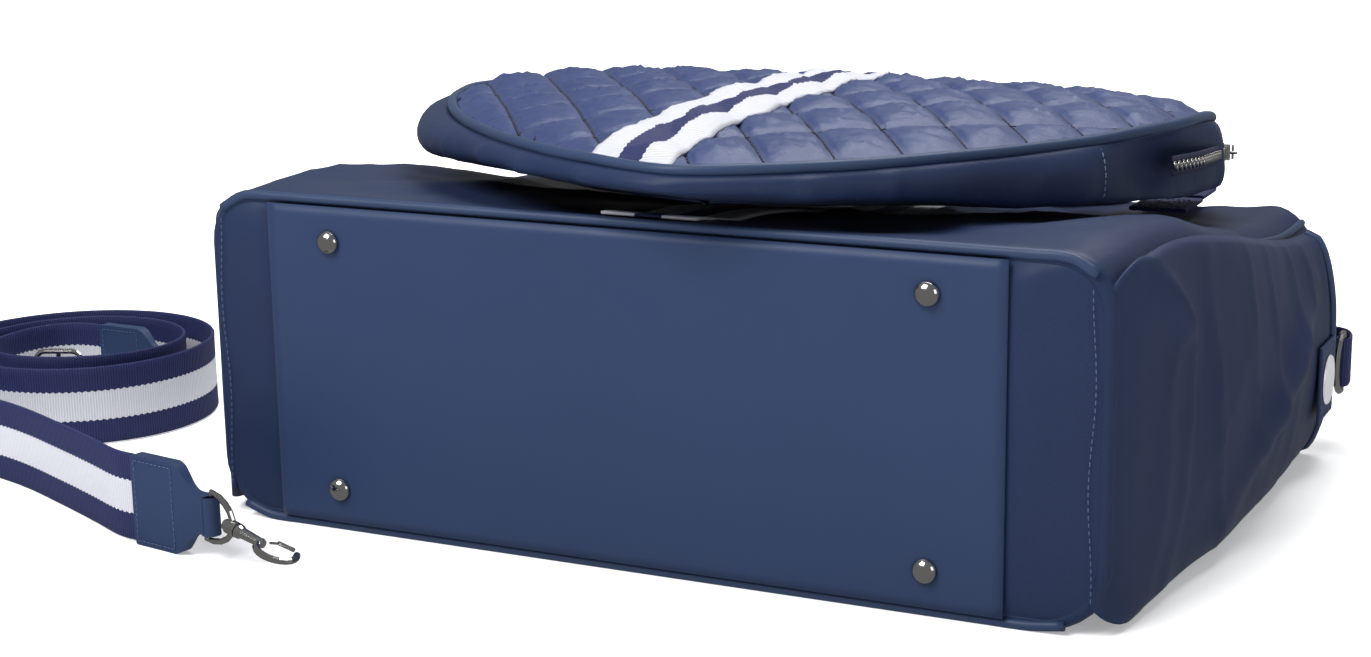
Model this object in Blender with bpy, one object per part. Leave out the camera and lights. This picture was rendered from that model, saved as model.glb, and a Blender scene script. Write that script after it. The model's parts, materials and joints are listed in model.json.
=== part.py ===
"""A navy diaper bag lying on its back, with a quilted front flap pocket and a loose shoulder strap.

Metres, +Z up. The floor is z = 0 and the bag's back panel lies on it. The bag's base faces -Y, its top
faces +Y and its front faces +Z. The origin is the middle of the back panel's flat face.
"""

import math

import bmesh
import bpy
from mathutils import Matrix, Vector

# Driving dimensions of the body.
HEIGHT = 0.370  # from the base to the top closure
BASE_HALF_WIDTH = 0.2345
TOP_HALF_WIDTH = 0.244
BASE_DEPTH = 0.170  # front to back at the base
TOP_DEPTH = 0.128  # front to back at the top, where the empty bag has sunk
CORNER_RADIUS = 0.022
WALL = 0.003  # padded nylon
GAP = 0.0004  # between pieces that meet

# Base panel and feet.
PANEL_HALF_WIDTH = 0.1915
PANEL_SHIFT = -0.0035  # the base panel sits left of the body's middle
PANEL_THICKNESS = 0.0016
FOOT_RADIUS = 0.0065
FOOT_HEIGHT = 0.0062
FOOT_SPACING_X = 0.311
FOOT_SPACING_Z = 0.126
PIPING_RADIUS = 0.0026

# Flap pocket.
FLAP_X = 0.002
FLAP_HALF_WIDTH = 0.205
FLAP_REACH = 0.243  # from the flap's widest line to its rounded near end
FLAP_WIDEST = 0.220  # height up the bag of the widest line
FLAP_END = 0.352  # height up the bag of the straight hinged end
FLAP_NEAR_POWER = 1.5  # how square the rounded near end is
FLAP_FAR_POWER = 2.2
FLAP_SKEW = 0.035  # how far the rounded near end leans to the right
FLAP_CROWN = 0.011
FLAP_ZIP_REST = 0.322  # height up the bag of the flap's zip slider
FLAP_ZIP_TRAVEL = 0.035
FLAP_AXIS_UP = 0.3535
FLAP_AXIS_Z = 0.150
FLAP_MIDDLE = Vector((FLAP_X, 0.175, 0))
GUSSET_SWELL = 0.022
STRIPE_X = 0.013
STRIPE_HALF = 0.0245

# Side pockets, rings and handles.
POCKET_HEIGHT = 0.322
POCKET_STANDOFF = 0.0175
RING_WIRE = 0.00175
RING_UP = 0.350
RING_Z = 0.048
RING_OUT = 0.022  # how far the ring hangs off the side panel
TAB_WIDTH = 0.027
HANDLE_X = 0.168
HANDLE_WIDTH = 0.032
HANDLE_THICKNESS = 0.003
FRONT_HANDLE_START = 0.3575
FRONT_HANDLE_REACH = 0.052
FRONT_HANDLE_Z = TOP_DEPTH + 0.0052
BACK_HANDLE_START = 0.3712
BACK_HANDLE_REACH = 0.070
BACK_HANDLE_Z = 0.0027

# Main zip along the top closure.
ZIP_HALF_LENGTH = 0.200
ZIP_OPEN_HALF = 0.140  # half length of the parted stretch
ZIP_GAP = 0.036  # widest parting
TAPE_WIDTH = 0.012
PIVOT = 0.0050  # how far a pull's pivot stands off its zip
PULL_LENGTH = 0.026

# Shoulder strap.
STRAP_WIDTH = 0.045
STRAP_THICKNESS = 0.0022
HOOK_DROOP = math.radians(12)  # the hooks hang down to the floor
ADJUSTER_LIFT = 0.0030  # the adjuster is taller than the webbing and holds it off the floor

BASE_Y = -HEIGHT / 2
ZIP_Z = TOP_DEPTH / 2


# ---------------------------------------------------------------- helpers


def clear_scene():
    for obj in list(bpy.data.objects):
        bpy.data.objects.remove(obj, do_unlink=True)


def finish_of(name, colour, roughness, metallic=0.0):
    finish = bpy.data.materials.new(name)
    finish.use_nodes = True
    shader = finish.node_tree.nodes["Principled BSDF"]
    shader.inputs["Base Color"].default_value = (*colour, 1.0)
    shader.inputs["Roughness"].default_value = roughness
    shader.inputs["Metallic"].default_value = metallic
    return finish


def smooth(t):
    """0 below 0, 1 above 1, with a smooth step between."""
    t = min(max(t, 0.0), 1.0)
    return t * t * (3 - 2 * t)


def at(x, up, z):
    """A point of the bag: x across, up from the base along the bag, z above the floor."""
    return Vector((x, BASE_Y + up, z))


def add(name, mesh, finish):
    obj = bpy.data.objects.new(name, mesh)
    bpy.context.scene.collection.objects.link(obj)
    mesh.materials.clear()
    mesh.materials.append(finish)
    mesh.shade_smooth()
    mesh.set_sharp_from_angle(angle=math.radians(40))
    return obj


def mesh_from(bm, name):
    bmesh.ops.recalc_face_normals(bm, faces=bm.faces)
    mesh = bpy.data.meshes.new(name)
    bm.to_mesh(mesh)
    bm.free()
    return mesh


def sheet(name, rows, thickness, finish, inward=True):
    """A fabric sheet over a grid of points, thickened on its inner side or about its middle."""
    bm = bmesh.new()
    grid = [[bm.verts.new(p) for p in row] for row in rows]
    for low, high in zip(grid, grid[1:]):
        for a, b, c, d in zip(low, low[1:], high[1:], high):
            bm.faces.new((a, b, c, d))
    mesh = bpy.data.meshes.new(name)
    bm.to_mesh(mesh)
    bm.free()
    obj = add(name, mesh, finish)
    solidify = obj.modifiers.new("thickness", "SOLIDIFY")
    solidify.thickness = thickness
    solidify.offset = -1.0 if inward else 0.0
    solidify.use_even_offset = True
    return obj


def disc_sheet(name, rings, centre, thickness, finish):
    """A sheet made of closed rings round a centre point, outermost ring first."""
    bm = bmesh.new()
    loops = [[bm.verts.new(p) for p in ring] for ring in rings]
    count = len(loops[0])
    for outer, inner in zip(loops, loops[1:]):
        for i in range(count):
            j = (i + 1) % count
            bm.faces.new((outer[i], outer[j], inner[j], inner[i]))
    middle = bm.verts.new(centre)
    for i in range(count):
        bm.faces.new((loops[-1][i], loops[-1][(i + 1) % count], middle))
    mesh = bpy.data.meshes.new(name)
    bm.to_mesh(mesh)
    bm.free()
    obj = add(name, mesh, finish)
    solidify = obj.modifiers.new("thickness", "SOLIDIFY")
    solidify.thickness = thickness
    solidify.offset = -1.0
    return obj


def plate_mesh(name, outline, push):
    """A flat outline pushed into a plate."""
    bm = bmesh.new()
    face = bm.faces.new([bm.verts.new(p) for p in outline])
    grown = bmesh.ops.extrude_face_region(bm, geom=[face])
    corners = [v for v in grown["geom"] if isinstance(v, bmesh.types.BMVert)]
    bmesh.ops.translate(bm, verts=corners, vec=push)
    return mesh_from(bm, name)


def plate(name, outline, push, finish):
    return add(name, plate_mesh(name, outline, Vector(push)), finish)


def tube_mesh(name, points, radius, closed=False, resolution=2):
    """A round bar along a line of points."""
    curve = bpy.data.curves.new(name, "CURVE")
    curve.dimensions = "3D"
    curve.bevel_depth = radius
    curve.bevel_resolution = resolution
    curve.use_fill_caps = True
    line = curve.splines.new("POLY")
    line.points.add(len(points) - 1)
    for point, place in zip(line.points, points):
        point.co = (*place, 1.0)
    line.use_cyclic_u = closed
    guide = bpy.data.objects.new(name + "_guide", curve)
    mesh = bpy.data.meshes.new_from_object(guide)
    bpy.data.objects.remove(guide)
    bm = bmesh.new()
    bm.from_mesh(mesh)
    bmesh.ops.remove_doubles(bm, verts=bm.verts, dist=1e-6)
    bpy.data.meshes.remove(mesh)
    return mesh_from(bm, name)


def tube(name, points, radius, finish, closed=False, resolution=2):
    return add(name, tube_mesh(name, points, radius, closed, resolution), finish)


def turned_mesh(name, profile, steps=16):
    """A profile of (radius, height) points turned about local Z. It starts and ends on the axis."""
    bm = bmesh.new()
    verts = [bm.verts.new((r, 0.0, z)) for r, z in profile]
    edges = [bm.edges.new(pair) for pair in zip(verts, verts[1:])]
    bmesh.ops.spin(
        bm, geom=verts + edges, cent=(0, 0, 0), axis=(0, 0, 1), angle=math.tau, steps=steps
    )
    bmesh.ops.remove_doubles(bm, verts=bm.verts, dist=1e-6)
    return mesh_from(bm, name)


def turned(name, profile, matrix, finish, steps=16):
    obj = add(name, turned_mesh(name, profile, steps), finish)
    obj.matrix_world = matrix
    return obj


def bar_profile(*stations):
    """The turned profile of a bar from (radius, height) stations, closed onto its axis."""
    first, last = stations[0], stations[-1]
    return [(0.0, first[1]), *stations, (0.0, last[1])]


def joined(obj, other_mesh, operation, matrix=None):
    """Adds a Boolean with a hidden helper object."""
    helper = bpy.data.objects.new(obj.name + "_" + operation.lower(), other_mesh)
    bpy.context.scene.collection.objects.link(helper)
    helper.hide_render = True
    helper.display_type = "WIRE"
    helper.matrix_world = matrix or obj.matrix_world.copy()
    boolean = obj.modifiers.new(operation.lower(), "BOOLEAN")
    boolean.operation = operation
    boolean.object = helper
    return obj


def smooth_line(points, step):
    """A Catmull-Rom curve through the points, read off at even steps."""
    ends = [2 * points[0] - points[1], *points, 2 * points[-1] - points[-2]]
    fine = []
    for a, b, c, d in zip(ends, ends[1:], ends[2:], ends[3:]):
        for i in range(24):
            t = i / 24
            fine.append(
                0.5
                * (
                    2 * b
                    + (c - a) * t
                    + (2 * a - 5 * b + 4 * c - d) * t * t
                    + (3 * b - a - 3 * c + d) * t**3
                )
            )
    fine.append(points[-1].copy())
    return evenly(fine, step)


def evenly(line, step):
    """The line again, with points at equal distances of about step."""
    lengths = [0.0]
    for a, b in zip(line, line[1:]):
        lengths.append(lengths[-1] + (b - a).length)
    count = max(2, round(lengths[-1] / step))
    out, i = [], 0
    for n in range(count + 1):
        want = lengths[-1] * n / count
        while i < len(line) - 2 and lengths[i + 1] < want:
            i += 1
        share = (want - lengths[i]) / max(lengths[i + 1] - lengths[i], 1e-9)
        out.append(line[i].lerp(line[i + 1], share))
    return out


# ---------------------------------------------------------------- body


def half_width(up):
    return BASE_HALF_WIDTH + (TOP_HALF_WIDTH - BASE_HALF_WIDTH) * smooth(up / 0.2)


def depth(up):
    """Height of the front face above the floor. The empty bag sinks towards its top."""
    return BASE_DEPTH - (BASE_DEPTH - TOP_DEPTH) * smooth((up - 0.04) / 0.30)


def corner(side, level, up, angle):
    """A point on a long edge's rounded corner. side is +1 or -1 and level is 'front' or 'back'."""
    radius = CORNER_RADIUS
    x = half_width(up) - radius
    z = depth(up) - radius if level == "front" else radius
    return at(
        side * (x + radius * math.cos(angle)),
        up,
        z + (1 if level == "front" else -1) * radius * math.sin(angle),
    )


def body_rows(kind):
    """Grid of points for one body panel, clockwise round the bag as seen from its base."""
    seam = GAP / CORNER_RADIUS
    step = math.radians(6)  # a short last chord keeps the two mitred edges parallel
    half = [math.pi / 4 + seam, math.pi / 4 + step, math.pi * 3 / 8, math.pi / 2]
    low = [0.0, math.pi / 8, math.pi / 4 - step, math.pi / 4 - seam]
    rows = []
    stations = [WALL + GAP + (HEIGHT - 2 * (WALL + GAP)) * i / 10 for i in range(11)]
    for up in stations:
        if kind == "front":
            row = [corner(-1, "front", up, a) for a in half]
            row += [at(x * half_width(up), up, depth(up)) for x in (-0.5, 0.0, 0.5)]
            row += [corner(1, "front", up, a) for a in reversed(half)]
        elif kind == "back":
            row = [corner(1, "back", up, a) for a in half]
            row += [corner(-1, "back", up, a) for a in reversed(half)]
        elif kind == "right":
            row = [corner(1, "front", up, a) for a in reversed(low)]
            row += [corner(1, "back", up, a) for a in low]
        else:
            row = [corner(-1, "back", up, a) for a in reversed(low)]
            row += [corner(-1, "front", up, a) for a in low]
        rows.append(row)
    return rows


def end_outline(up, inset):
    """Rounded outline of the bag's cross-section, seen from the base."""
    points = []
    turns = [math.pi / 2 * i / 4 for i in range(5)]
    radius = CORNER_RADIUS - inset
    for side, level, angles in (
        (1, "front", reversed(turns)),
        (1, "back", turns),
        (-1, "back", reversed(turns)),
        (-1, "front", turns),
    ):
        for angle in angles:
            x = half_width(up) - CORNER_RADIUS + radius * math.cos(angle)
            sign = 1 if level == "front" else -1
            middle = depth(up) - CORNER_RADIUS if level == "front" else CORNER_RADIUS
            points.append(at(side * x, up, middle + sign * radius * math.sin(angle)))
    return points


def make_body(nylon, board, lining):
    for kind, name in (
        ("front", "front_panel"),
        ("back", "back_panel"),
        ("left", "left_side_panel"),
        ("right", "right_side_panel"),
    ):
        sheet(name, body_rows(kind), WALL, nylon)
    plate("base_fabric", end_outline(0.0, 0.0), (0, WALL, 0), nylon)
    board_inset = WALL + 0.0012
    board_outline = end_outline(WALL + GAP, board_inset)
    plate("base_board", board_outline, (0, 0.0025, 0), board)
    make_lining(lining)


def make_lining(lining):
    """The hanging inner bag, open at the top, with a slip pocket on its back wall."""
    inset = WALL + 0.0015
    stations = [0.008 + 0.344 * i / 7 for i in range(8)]
    bm = bmesh.new()
    loops = [[bm.verts.new(p) for p in end_outline(up, inset)] for up in stations]
    count = len(loops[0])
    bm.faces.new(loops[0])
    for low, high in zip(loops, loops[1:]):
        for i in range(count):
            j = (i + 1) % count
            bm.faces.new((low[j], low[i], high[i], high[j]))
    bmesh.ops.recalc_face_normals(bm, faces=bm.faces)
    mesh = bpy.data.meshes.new("lining")
    bm.to_mesh(mesh)
    bm.free()
    obj = add("lining", mesh, lining)
    solidify = obj.modifiers.new("thickness", "SOLIDIFY")
    solidify.thickness = 0.0010
    solidify.offset = -1.0
    pocket = [at(x, up, 0.0072) for x, up in ((-0.12, 0.06), (0.12, 0.06), (0.12, 0.24), (-0.12, 0.24))]
    plate("inner_slip_pocket", pocket, (0, 0, 0.0012), lining)


def make_base_trim(coated, metal):
    """The coated base panel, the piping along both long base seams, and four dome feet."""
    left = PANEL_SHIFT - PANEL_HALF_WIDTH
    right = PANEL_SHIFT + PANEL_HALF_WIDTH
    low, high = 0.0062, BASE_DEPTH - 0.0062
    outer = -0.0003 - PANEL_THICKNESS
    outline = [at(left, outer, low), at(right, outer, low), at(right, outer, high), at(left, outer, high)]
    plate("base_panel", outline, (0, PANEL_THICKNESS, 0), coated)
    reach = BASE_HALF_WIDTH - CORNER_RADIUS
    for name, z, drop in (
        ("base_piping_front", BASE_DEPTH - 0.0008, -0.0050),
        ("base_piping_back", PIPING_RADIUS + 0.0002, 0.0050),
    ):
        flat = [(-reach + 2 * reach * i / 12, z) for i in range(13)]
        line = [(-reach - 0.0140, z + drop), *flat, (reach + 0.0140, z + drop)]
        tube(name, [at(x, -PIPING_RADIUS - 0.0004, height) for x, height in line], PIPING_RADIUS, coated)
    dome = [(0.0, -0.0), (FOOT_RADIUS * 0.86, 0.0), (FOOT_RADIUS, 0.0012)]
    for i in range(1, 6):
        angle = math.pi / 2 * i / 5
        dome.append((FOOT_RADIUS * math.cos(angle), 0.0012 + (FOOT_HEIGHT - 0.0012) * math.sin(angle)))
    dome[-1] = (0.0, FOOT_HEIGHT)
    facing = Matrix.Rotation(math.pi / 2, 4, "X")
    for across, side in ((-1, "left"), (1, "right")):
        for level, place in ((1, "front"), (-1, "back")):
            spot = at(
                PANEL_SHIFT + across * FOOT_SPACING_X / 2,
                outer - 0.0003,
                BASE_DEPTH / 2 + level * FOOT_SPACING_Z / 2,
            )
            turned(f"foot_{side}_{place}", dome, Matrix.Translation(spot) @ facing, metal, 20)


# ---------------------------------------------------------------- top closure and main zip


def parting(x):
    """Half the gap between the zip's two rows of teeth at x."""
    closed = 0.0006
    if abs(x) >= ZIP_OPEN_HALF:
        return closed
    return closed + (ZIP_GAP / 2) * math.cos(math.pi / 2 * x / ZIP_OPEN_HALF) ** 2


def make_top_closure(nylon, tape, metal):
    """Two gusset strips and two zip tapes with teeth, parted in the middle of the top."""
    steps = [-ZIP_HALF_LENGTH + 2 * ZIP_HALF_LENGTH * i / 24 for i in range(25)]
    for side, word in ((1, "front"), (-1, "back")):
        inner = [at(x, HEIGHT - 0.0014, ZIP_Z + side * parting(x)) for x in steps]
        outer = [at(x, HEIGHT - 0.0014, ZIP_Z + side * (parting(x) + TAPE_WIDTH)) for x in steps]
        plate(f"main_zip_tape_{word}", inner + outer[::-1], (0, 0.0014, 0), tape)
        edge = [at(x, HEIGHT - WALL, ZIP_Z + side * (parting(x) + TAPE_WIDTH + GAP)) for x in steps]
        rim = [p for p in end_outline(HEIGHT, 0.0) if side * (p.z - ZIP_Z) > 0.018]
        rim = [at(p.x, HEIGHT - WALL, p.z) for p in rim]
        rim.sort(key=lambda p: math.atan2(side * (p.z - ZIP_Z), p.x))
        end_x = half_width(HEIGHT)
        mouth = [at(end_x, HEIGHT - WALL, ZIP_Z + side * GAP)]
        mouth += [*rim, at(-end_x, HEIGHT - WALL, ZIP_Z + side * GAP)]
        mouth += [at(-ZIP_HALF_LENGTH - GAP, HEIGHT - WALL, ZIP_Z + side * GAP)]
        mouth += [at(-ZIP_HALF_LENGTH - GAP, HEIGHT - WALL, edge[0].z)]
        mouth += edge[1:-1]
        mouth += [at(ZIP_HALF_LENGTH + GAP, HEIGHT - WALL, edge[-1].z)]
        mouth += [at(ZIP_HALF_LENGTH + GAP, HEIGHT - WALL, ZIP_Z + side * GAP)]
        plate(f"top_gusset_{word}", mouth, (0, WALL, 0), nylon)
    for side, word in ((-1, "left"), (1, "right")):
        place = Matrix.Translation(at(side * (ZIP_OPEN_HALF + 0.004), HEIGHT, ZIP_Z))
        if side > 0:
            place = place @ Matrix.Rotation(math.pi, 4, "Y")
        make_slider(f"main_zip_slider_{word}", f"main_zip_pull_{word}", place, metal)


def make_slider(slider_name, pull_name, place, metal):
    """A zip slider on a tape that faces local +Y, with its pull lying back along local -X."""
    low = 0.0004
    wedge = ((-0.0055, -0.0045), (0.0055, -0.0032), (0.0055, 0.0032), (-0.0055, 0.0045))
    mesh = plate_mesh(slider_name, [Vector((x, low, z)) for x, z in wedge], Vector((0, 0.0032, 0)))
    body = add(slider_name, mesh, metal)
    body.matrix_world = place
    arch = [(-0.0035, low + 0.0028, 0), (-0.0035, PIVOT + 0.0019, 0)]
    arch += [(0.0035, PIVOT + 0.0019, 0), (0.0035, low + 0.0028, 0)]
    joined(body, tube_mesh("arch", [Vector(p) for p in arch], 0.0008), "UNION")
    wide = 0.0033
    blade = ((-wide, 0.0008), (wide, 0.0008), (wide * 1.25, -PULL_LENGTH), (-wide * 1.25, -PULL_LENGTH))
    mesh = plate_mesh(pull_name, [Vector((x, -0.0006, z)) for x, z in blade], Vector((0, 0.0012, 0)))
    pull = add(pull_name, mesh, metal)
    pull.matrix_world = place @ Matrix.Translation((0, PIVOT, 0)) @ Matrix.Rotation(math.pi / 2, 4, "Y")
    window = ((-0.0014, -0.0008), (0.0014, -0.0008), (0.0014, -0.0054), (-0.0014, -0.0054))
    cut = plate_mesh("window", [Vector((x, -0.004, z)) for x, z in window], Vector((0, 0.008, 0)))
    joined(pull, cut, "DIFFERENCE")


# ---------------------------------------------------------------- side pockets, badge, rings


def pocket_out(up, across):
    """How far the pocket stands off the side panel; across runs 0 to 1 between its sewn edges."""
    swell = max(math.sin(math.pi * across), 0.0) ** 0.4
    rise = 0.45 * smooth(up / 0.06) + 0.55 * smooth(up / POCKET_HEIGHT)
    return 0.0032 + POCKET_STANDOFF * rise * swell


def pocket_point(side, up, across, extra=0.0):
    low, high = 0.008, depth(up) - 0.014
    x = half_width(up) + pocket_out(up, across) + extra
    return at(side * x, up, low + (high - low) * across)


def make_side_pocket(side, word, nylon, coated):
    shares = [i / 12 for i in range(13)]
    ups = [0.004 + (POCKET_HEIGHT - 0.004) * i / 9 for i in range(10)]
    rows = []
    for up in ups:
        row = [pocket_point(side, up, s) for s in shares]
        rows.append(row[::-1] if side > 0 else row)
    sheet(f"{word}_side_pocket", rows, 0.0022, nylon)
    line = [pocket_point(side, POCKET_HEIGHT, s, -0.0011) for s in shares]
    line = [p + Vector((0, 0.0030, 0)) for p in line]
    tube(f"{word}_pocket_binding", line, 0.0024, coated)


def make_badge(coated, metal):
    """A coated patch with a plain metal disc, sewn at the middle of the right pocket's mouth."""
    half_up, half_z, z = 0.017, 0.0205, 0.049
    up = POCKET_HEIGHT - half_up - 0.002
    x = half_width(up) + 0.0032 + POCKET_STANDOFF + 0.0006
    outline = [at(x, up + a * half_up, z + b * half_z) for a, b in ((-1, -1), (1, -1), (1, 1), (-1, 1))]
    plate("badge_patch", outline, (0.0016, 0, 0), coated)
    disc = bar_profile((0.0130, 0.0), (0.0135, 0.0004), (0.0130, 0.0012))
    place = Matrix.Translation(at(x + 0.0020, up, z)) @ Matrix.Rotation(math.pi / 2, 4, "Y")
    turned("badge_disc", disc, place, metal, 28)


def ring_line(half, reach, steps=10):
    """A D shape in local X and Z: its bar on X = 0 and its bow towards +X."""
    points = [Vector((0, 0, -half + 2 * half * i / 4)) for i in range(5)]
    for i in range(1, steps):
        angle = math.pi / 2 - math.pi * i / steps
        points.append(Vector((reach * math.cos(angle), 0, half * math.sin(angle))))
    return points


def make_ring(side, word, webbing, metal):
    """A webbing tab sewn to the top of a side and bent back towards the base, holding a D-ring."""
    x = half_width(HEIGHT)
    path = (
        (x + 0.0020, HEIGHT - 0.026),
        (x + 0.0020, HEIGHT - 0.008),
        (x + 0.0050, HEIGHT + 0.0020),
        (x + RING_OUT * 0.5, HEIGHT + 0.0070),
        (x + RING_OUT - 0.0035, HEIGHT + 0.0020),
        (x + RING_OUT, HEIGHT - 0.007),
        (x + RING_OUT, RING_UP + 0.0030),
    )
    low, high = RING_Z - TAB_WIDTH / 2, RING_Z + TAB_WIDTH / 2
    rows = [[at(side * out, up, z) for z in (low, high)] for out, up in path]
    tab = sheet(f"{word}_ring_tab", rows, 0.0026, webbing, inward=False)
    eye = Matrix.Translation(at(side * (x + RING_OUT), RING_UP, RING_Z))
    outer = bar_profile((0.0042, -TAB_WIDTH / 2), (0.0042, TAB_WIDTH / 2))
    hole = bar_profile((0.0026, -0.03), (0.0026, 0.03))
    joined(tab, turned_mesh(tab.name + "_eye", outer, 14), "UNION", eye)
    joined(tab, turned_mesh(tab.name + "_hole", hole, 14), "DIFFERENCE", eye)
    line = ring_line(0.0165, 0.0165)
    obj = tube(f"{word}_d_ring", line, RING_WIRE, metal, closed=True)
    obj.matrix_world = eye @ Matrix.Rotation(-math.pi / 2, 4, "Z")


# ---------------------------------------------------------------- handles


def handle_line(start_up, reach, z, steps=8):
    """The middle line of a carry handle lying flat beyond the top edge."""
    turn = 0.026
    end = start_up + reach
    right = [at(HANDLE_X, start_up, z)]
    for i in range(steps + 1):
        angle = math.pi / 2 * i / steps
        right.append(
            at(HANDLE_X - turn * (1 - math.cos(angle)), end - turn + turn * math.sin(angle), z)
        )
    left = [Vector((-p.x, p.y, p.z)) for p in reversed(right)]
    return right + left


def flat_band(name, line, width, thickness, finish):
    """Webbing along a line in a level plane, flat side up."""
    rows = []
    for i, p in enumerate(line):
        before, after = line[max(i - 1, 0)], line[min(i + 1, len(line) - 1)]
        along = (after - before).normalized()
        across = Vector((along.y, -along.x, 0)) * (width / 2)
        rows.append([p + across, p - across])
    return sheet(name, rows, thickness, finish, inward=False)


def make_handles(webbing):
    for side, word in ((1, "right"), (-1, "left")):
        low, high = side * HANDLE_X - HANDLE_WIDTH / 2, side * HANDLE_X + HANDLE_WIDTH / 2
        z = depth(0.318) + 0.0020
        corners = ((low, 0.318), (high, 0.318), (high, 0.3560), (low, 0.3560))
        outline = [at(x, up, z) for x, up in corners]
        plate(f"front_handle_anchor_{word}", outline, (0, 0, 0.0028), webbing)
    front = handle_line(FRONT_HANDLE_START, FRONT_HANDLE_REACH, FRONT_HANDLE_Z)
    flat_band("front_handle", front, HANDLE_WIDTH, HANDLE_THICKNESS, webbing)
    back = handle_line(BACK_HANDLE_START, BACK_HANDLE_REACH, BACK_HANDLE_Z)
    flat_band("back_handle", back, HANDLE_WIDTH, HANDLE_THICKNESS, webbing)


# ---------------------------------------------------------------- flap pocket


def flap_top(up):
    """Height of the flap's upper seam above the floor."""
    return 0.1985 - 0.0075 * up - 0.9 * max(0.0, up - 0.2) ** 2


def flap_bottom(up):
    """Height of the flap's lower seam above the floor."""
    return 0.1770 - 0.09 * up


def flap_curve(grow, count):
    """Points (x, up) round the flap, from its right hinged corner round the near end to the left one."""
    start = math.asin(((FLAP_END - FLAP_WIDEST) / FLAP_REACH) ** (FLAP_FAR_POWER / 2))
    points = []
    for i in range(241):
        angle = start - (math.pi + 2 * start) * i / 240
        c, s = math.cos(angle), math.sin(angle)
        power = 2 / (FLAP_FAR_POWER if s > 0 else FLAP_NEAR_POWER)
        x = math.copysign(abs(c) ** power, c) * (FLAP_HALF_WIDTH + grow)
        y = math.copysign(abs(s) ** power, s) * (FLAP_REACH + grow)
        lean = FLAP_SKEW * max(0.0, -y / FLAP_REACH) ** 2
        points.append(Vector((FLAP_X + x + lean, FLAP_WIDEST + y, 0)))
    length = sum((b - a).length for a, b in zip(points, points[1:]))
    return evenly(points, length / count)


def flap_ring(share, count=44):
    """A closed ring of (x, up) at a share of the way from the flap's middle to its edge."""
    line = flap_curve(-0.0040, count)
    line = [Vector((p.x, min(p.y, FLAP_END - 0.004), 0)) for p in line]
    far = line[0].y
    back = [Vector((line[-1].x + (line[0].x - line[-1].x) * i / 10, far, 0)) for i in range(1, 10)]
    return [FLAP_MIDDLE.lerp(p, share) for p in line + back]


def flap_bulge(x, up, drop):
    """How far the gusset swells beyond the seams: most on the left, hardly at all by the zip."""
    side = 0.55 - 0.42 * (x - FLAP_X) / FLAP_HALF_WIDTH
    return GUSSET_SWELL * side * (0.25 + 0.75 * smooth(up / 0.15)) * math.sin(math.pi * drop)


def crown(share):
    return FLAP_CROWN * (1 - share**3)


def make_flap(quilt, nylon, coated, webbing, tape, metal):
    shares = [1.0, 0.93, 0.8, 0.6, 0.35]
    top = []
    for share in shares:
        top.append([at(p.x, p.y, flap_top(p.y) + 0.002 + crown(share)) for p in reversed(flap_ring(share))])
    peak = at(FLAP_MIDDLE.x, FLAP_MIDDLE.y, flap_top(FLAP_MIDDLE.y) + 0.002 + crown(0))
    disc_sheet("flap_quilted_panel", top, peak, 0.006, quilt)

    under = []
    for share in (1.0, 0.5):
        under.append([at(p.x, p.y, flap_bottom(p.y) + 0.0024) for p in reversed(flap_ring(share))])
    base = at(FLAP_MIDDLE.x, FLAP_MIDDLE.y, flap_bottom(FLAP_MIDDLE.y) + 0.0024)
    disc_sheet("flap_back_panel", under, base, 0.0020, nylon)

    count = 56
    rows = []
    line, spread = flap_curve(0.0012, count), flap_curve(0.0112, count)
    for i in range(7):
        drop = i / 6
        row = []
        for p, q in zip(line, spread):
            place = p + (q - p).normalized() * flap_bulge(p.x, p.y, drop)
            high, low = flap_top(p.y) - 0.0040, flap_bottom(p.y) + 0.0004
            row.append(at(place.x, place.y, high + (low - high) * drop))
        rows.append(row)
    sheet("flap_gusset", rows, 0.0022, nylon)

    line = [at(p.x, p.y, flap_top(p.y)) for p in flap_curve(0.0010, 64)]
    tube("flap_piping", line, 0.0030, coated)
    make_flap_stripe(webbing)
    make_flap_zip(tape, metal)
    wide = 0.125
    strip = [at(x, 0.3546, z) for x, z in ((-wide, 0.1292), (wide, 0.1292), (wide, 0.148), (-wide, 0.148))]
    plate("flap_hinge_strip", strip, (0, 0.0018, 0), nylon)


def surface_height(x, up):
    """Height of the quilted panel's crown at a point, from how far out towards the edge it is."""
    offset = Vector((x, up, 0)) - FLAP_MIDDLE
    heading = offset.normalized()
    edge = max(flap_ring(1.0), key=lambda p: (p - FLAP_MIDDLE).normalized().dot(heading))
    share = min(offset.length / (edge - FLAP_MIDDLE).length, 1.0)
    return flap_top(up) + 0.002 + crown(share)


def make_flap_stripe(webbing):
    near = min(p.y for p in flap_ring(1.0)) + 0.0010
    ups = [near + (0.345 - near) * i / 20 for i in range(21)]
    rows = []
    for up in ups:
        across = (STRIPE_X - STRIPE_HALF, STRIPE_X, STRIPE_X + STRIPE_HALF)
        rows.append([at(x, up, surface_height(x, up) + 0.0030) for x in across])
    sheet("flap_stripe", rows, 0.0012, webbing)


def flap_zip_point(up, out):
    """A point of the flap's zip line, at the middle of the gusset's right side."""
    right = [p for p in flap_curve(0.0012, 400) if p.x > FLAP_X]
    edge = min(right, key=lambda p: abs(p.y - up))
    middle = (flap_top(up) + flap_bottom(up)) / 2
    return at(edge.x + flap_bulge(edge.x, up, 0.5) + out, up, middle)


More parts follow.
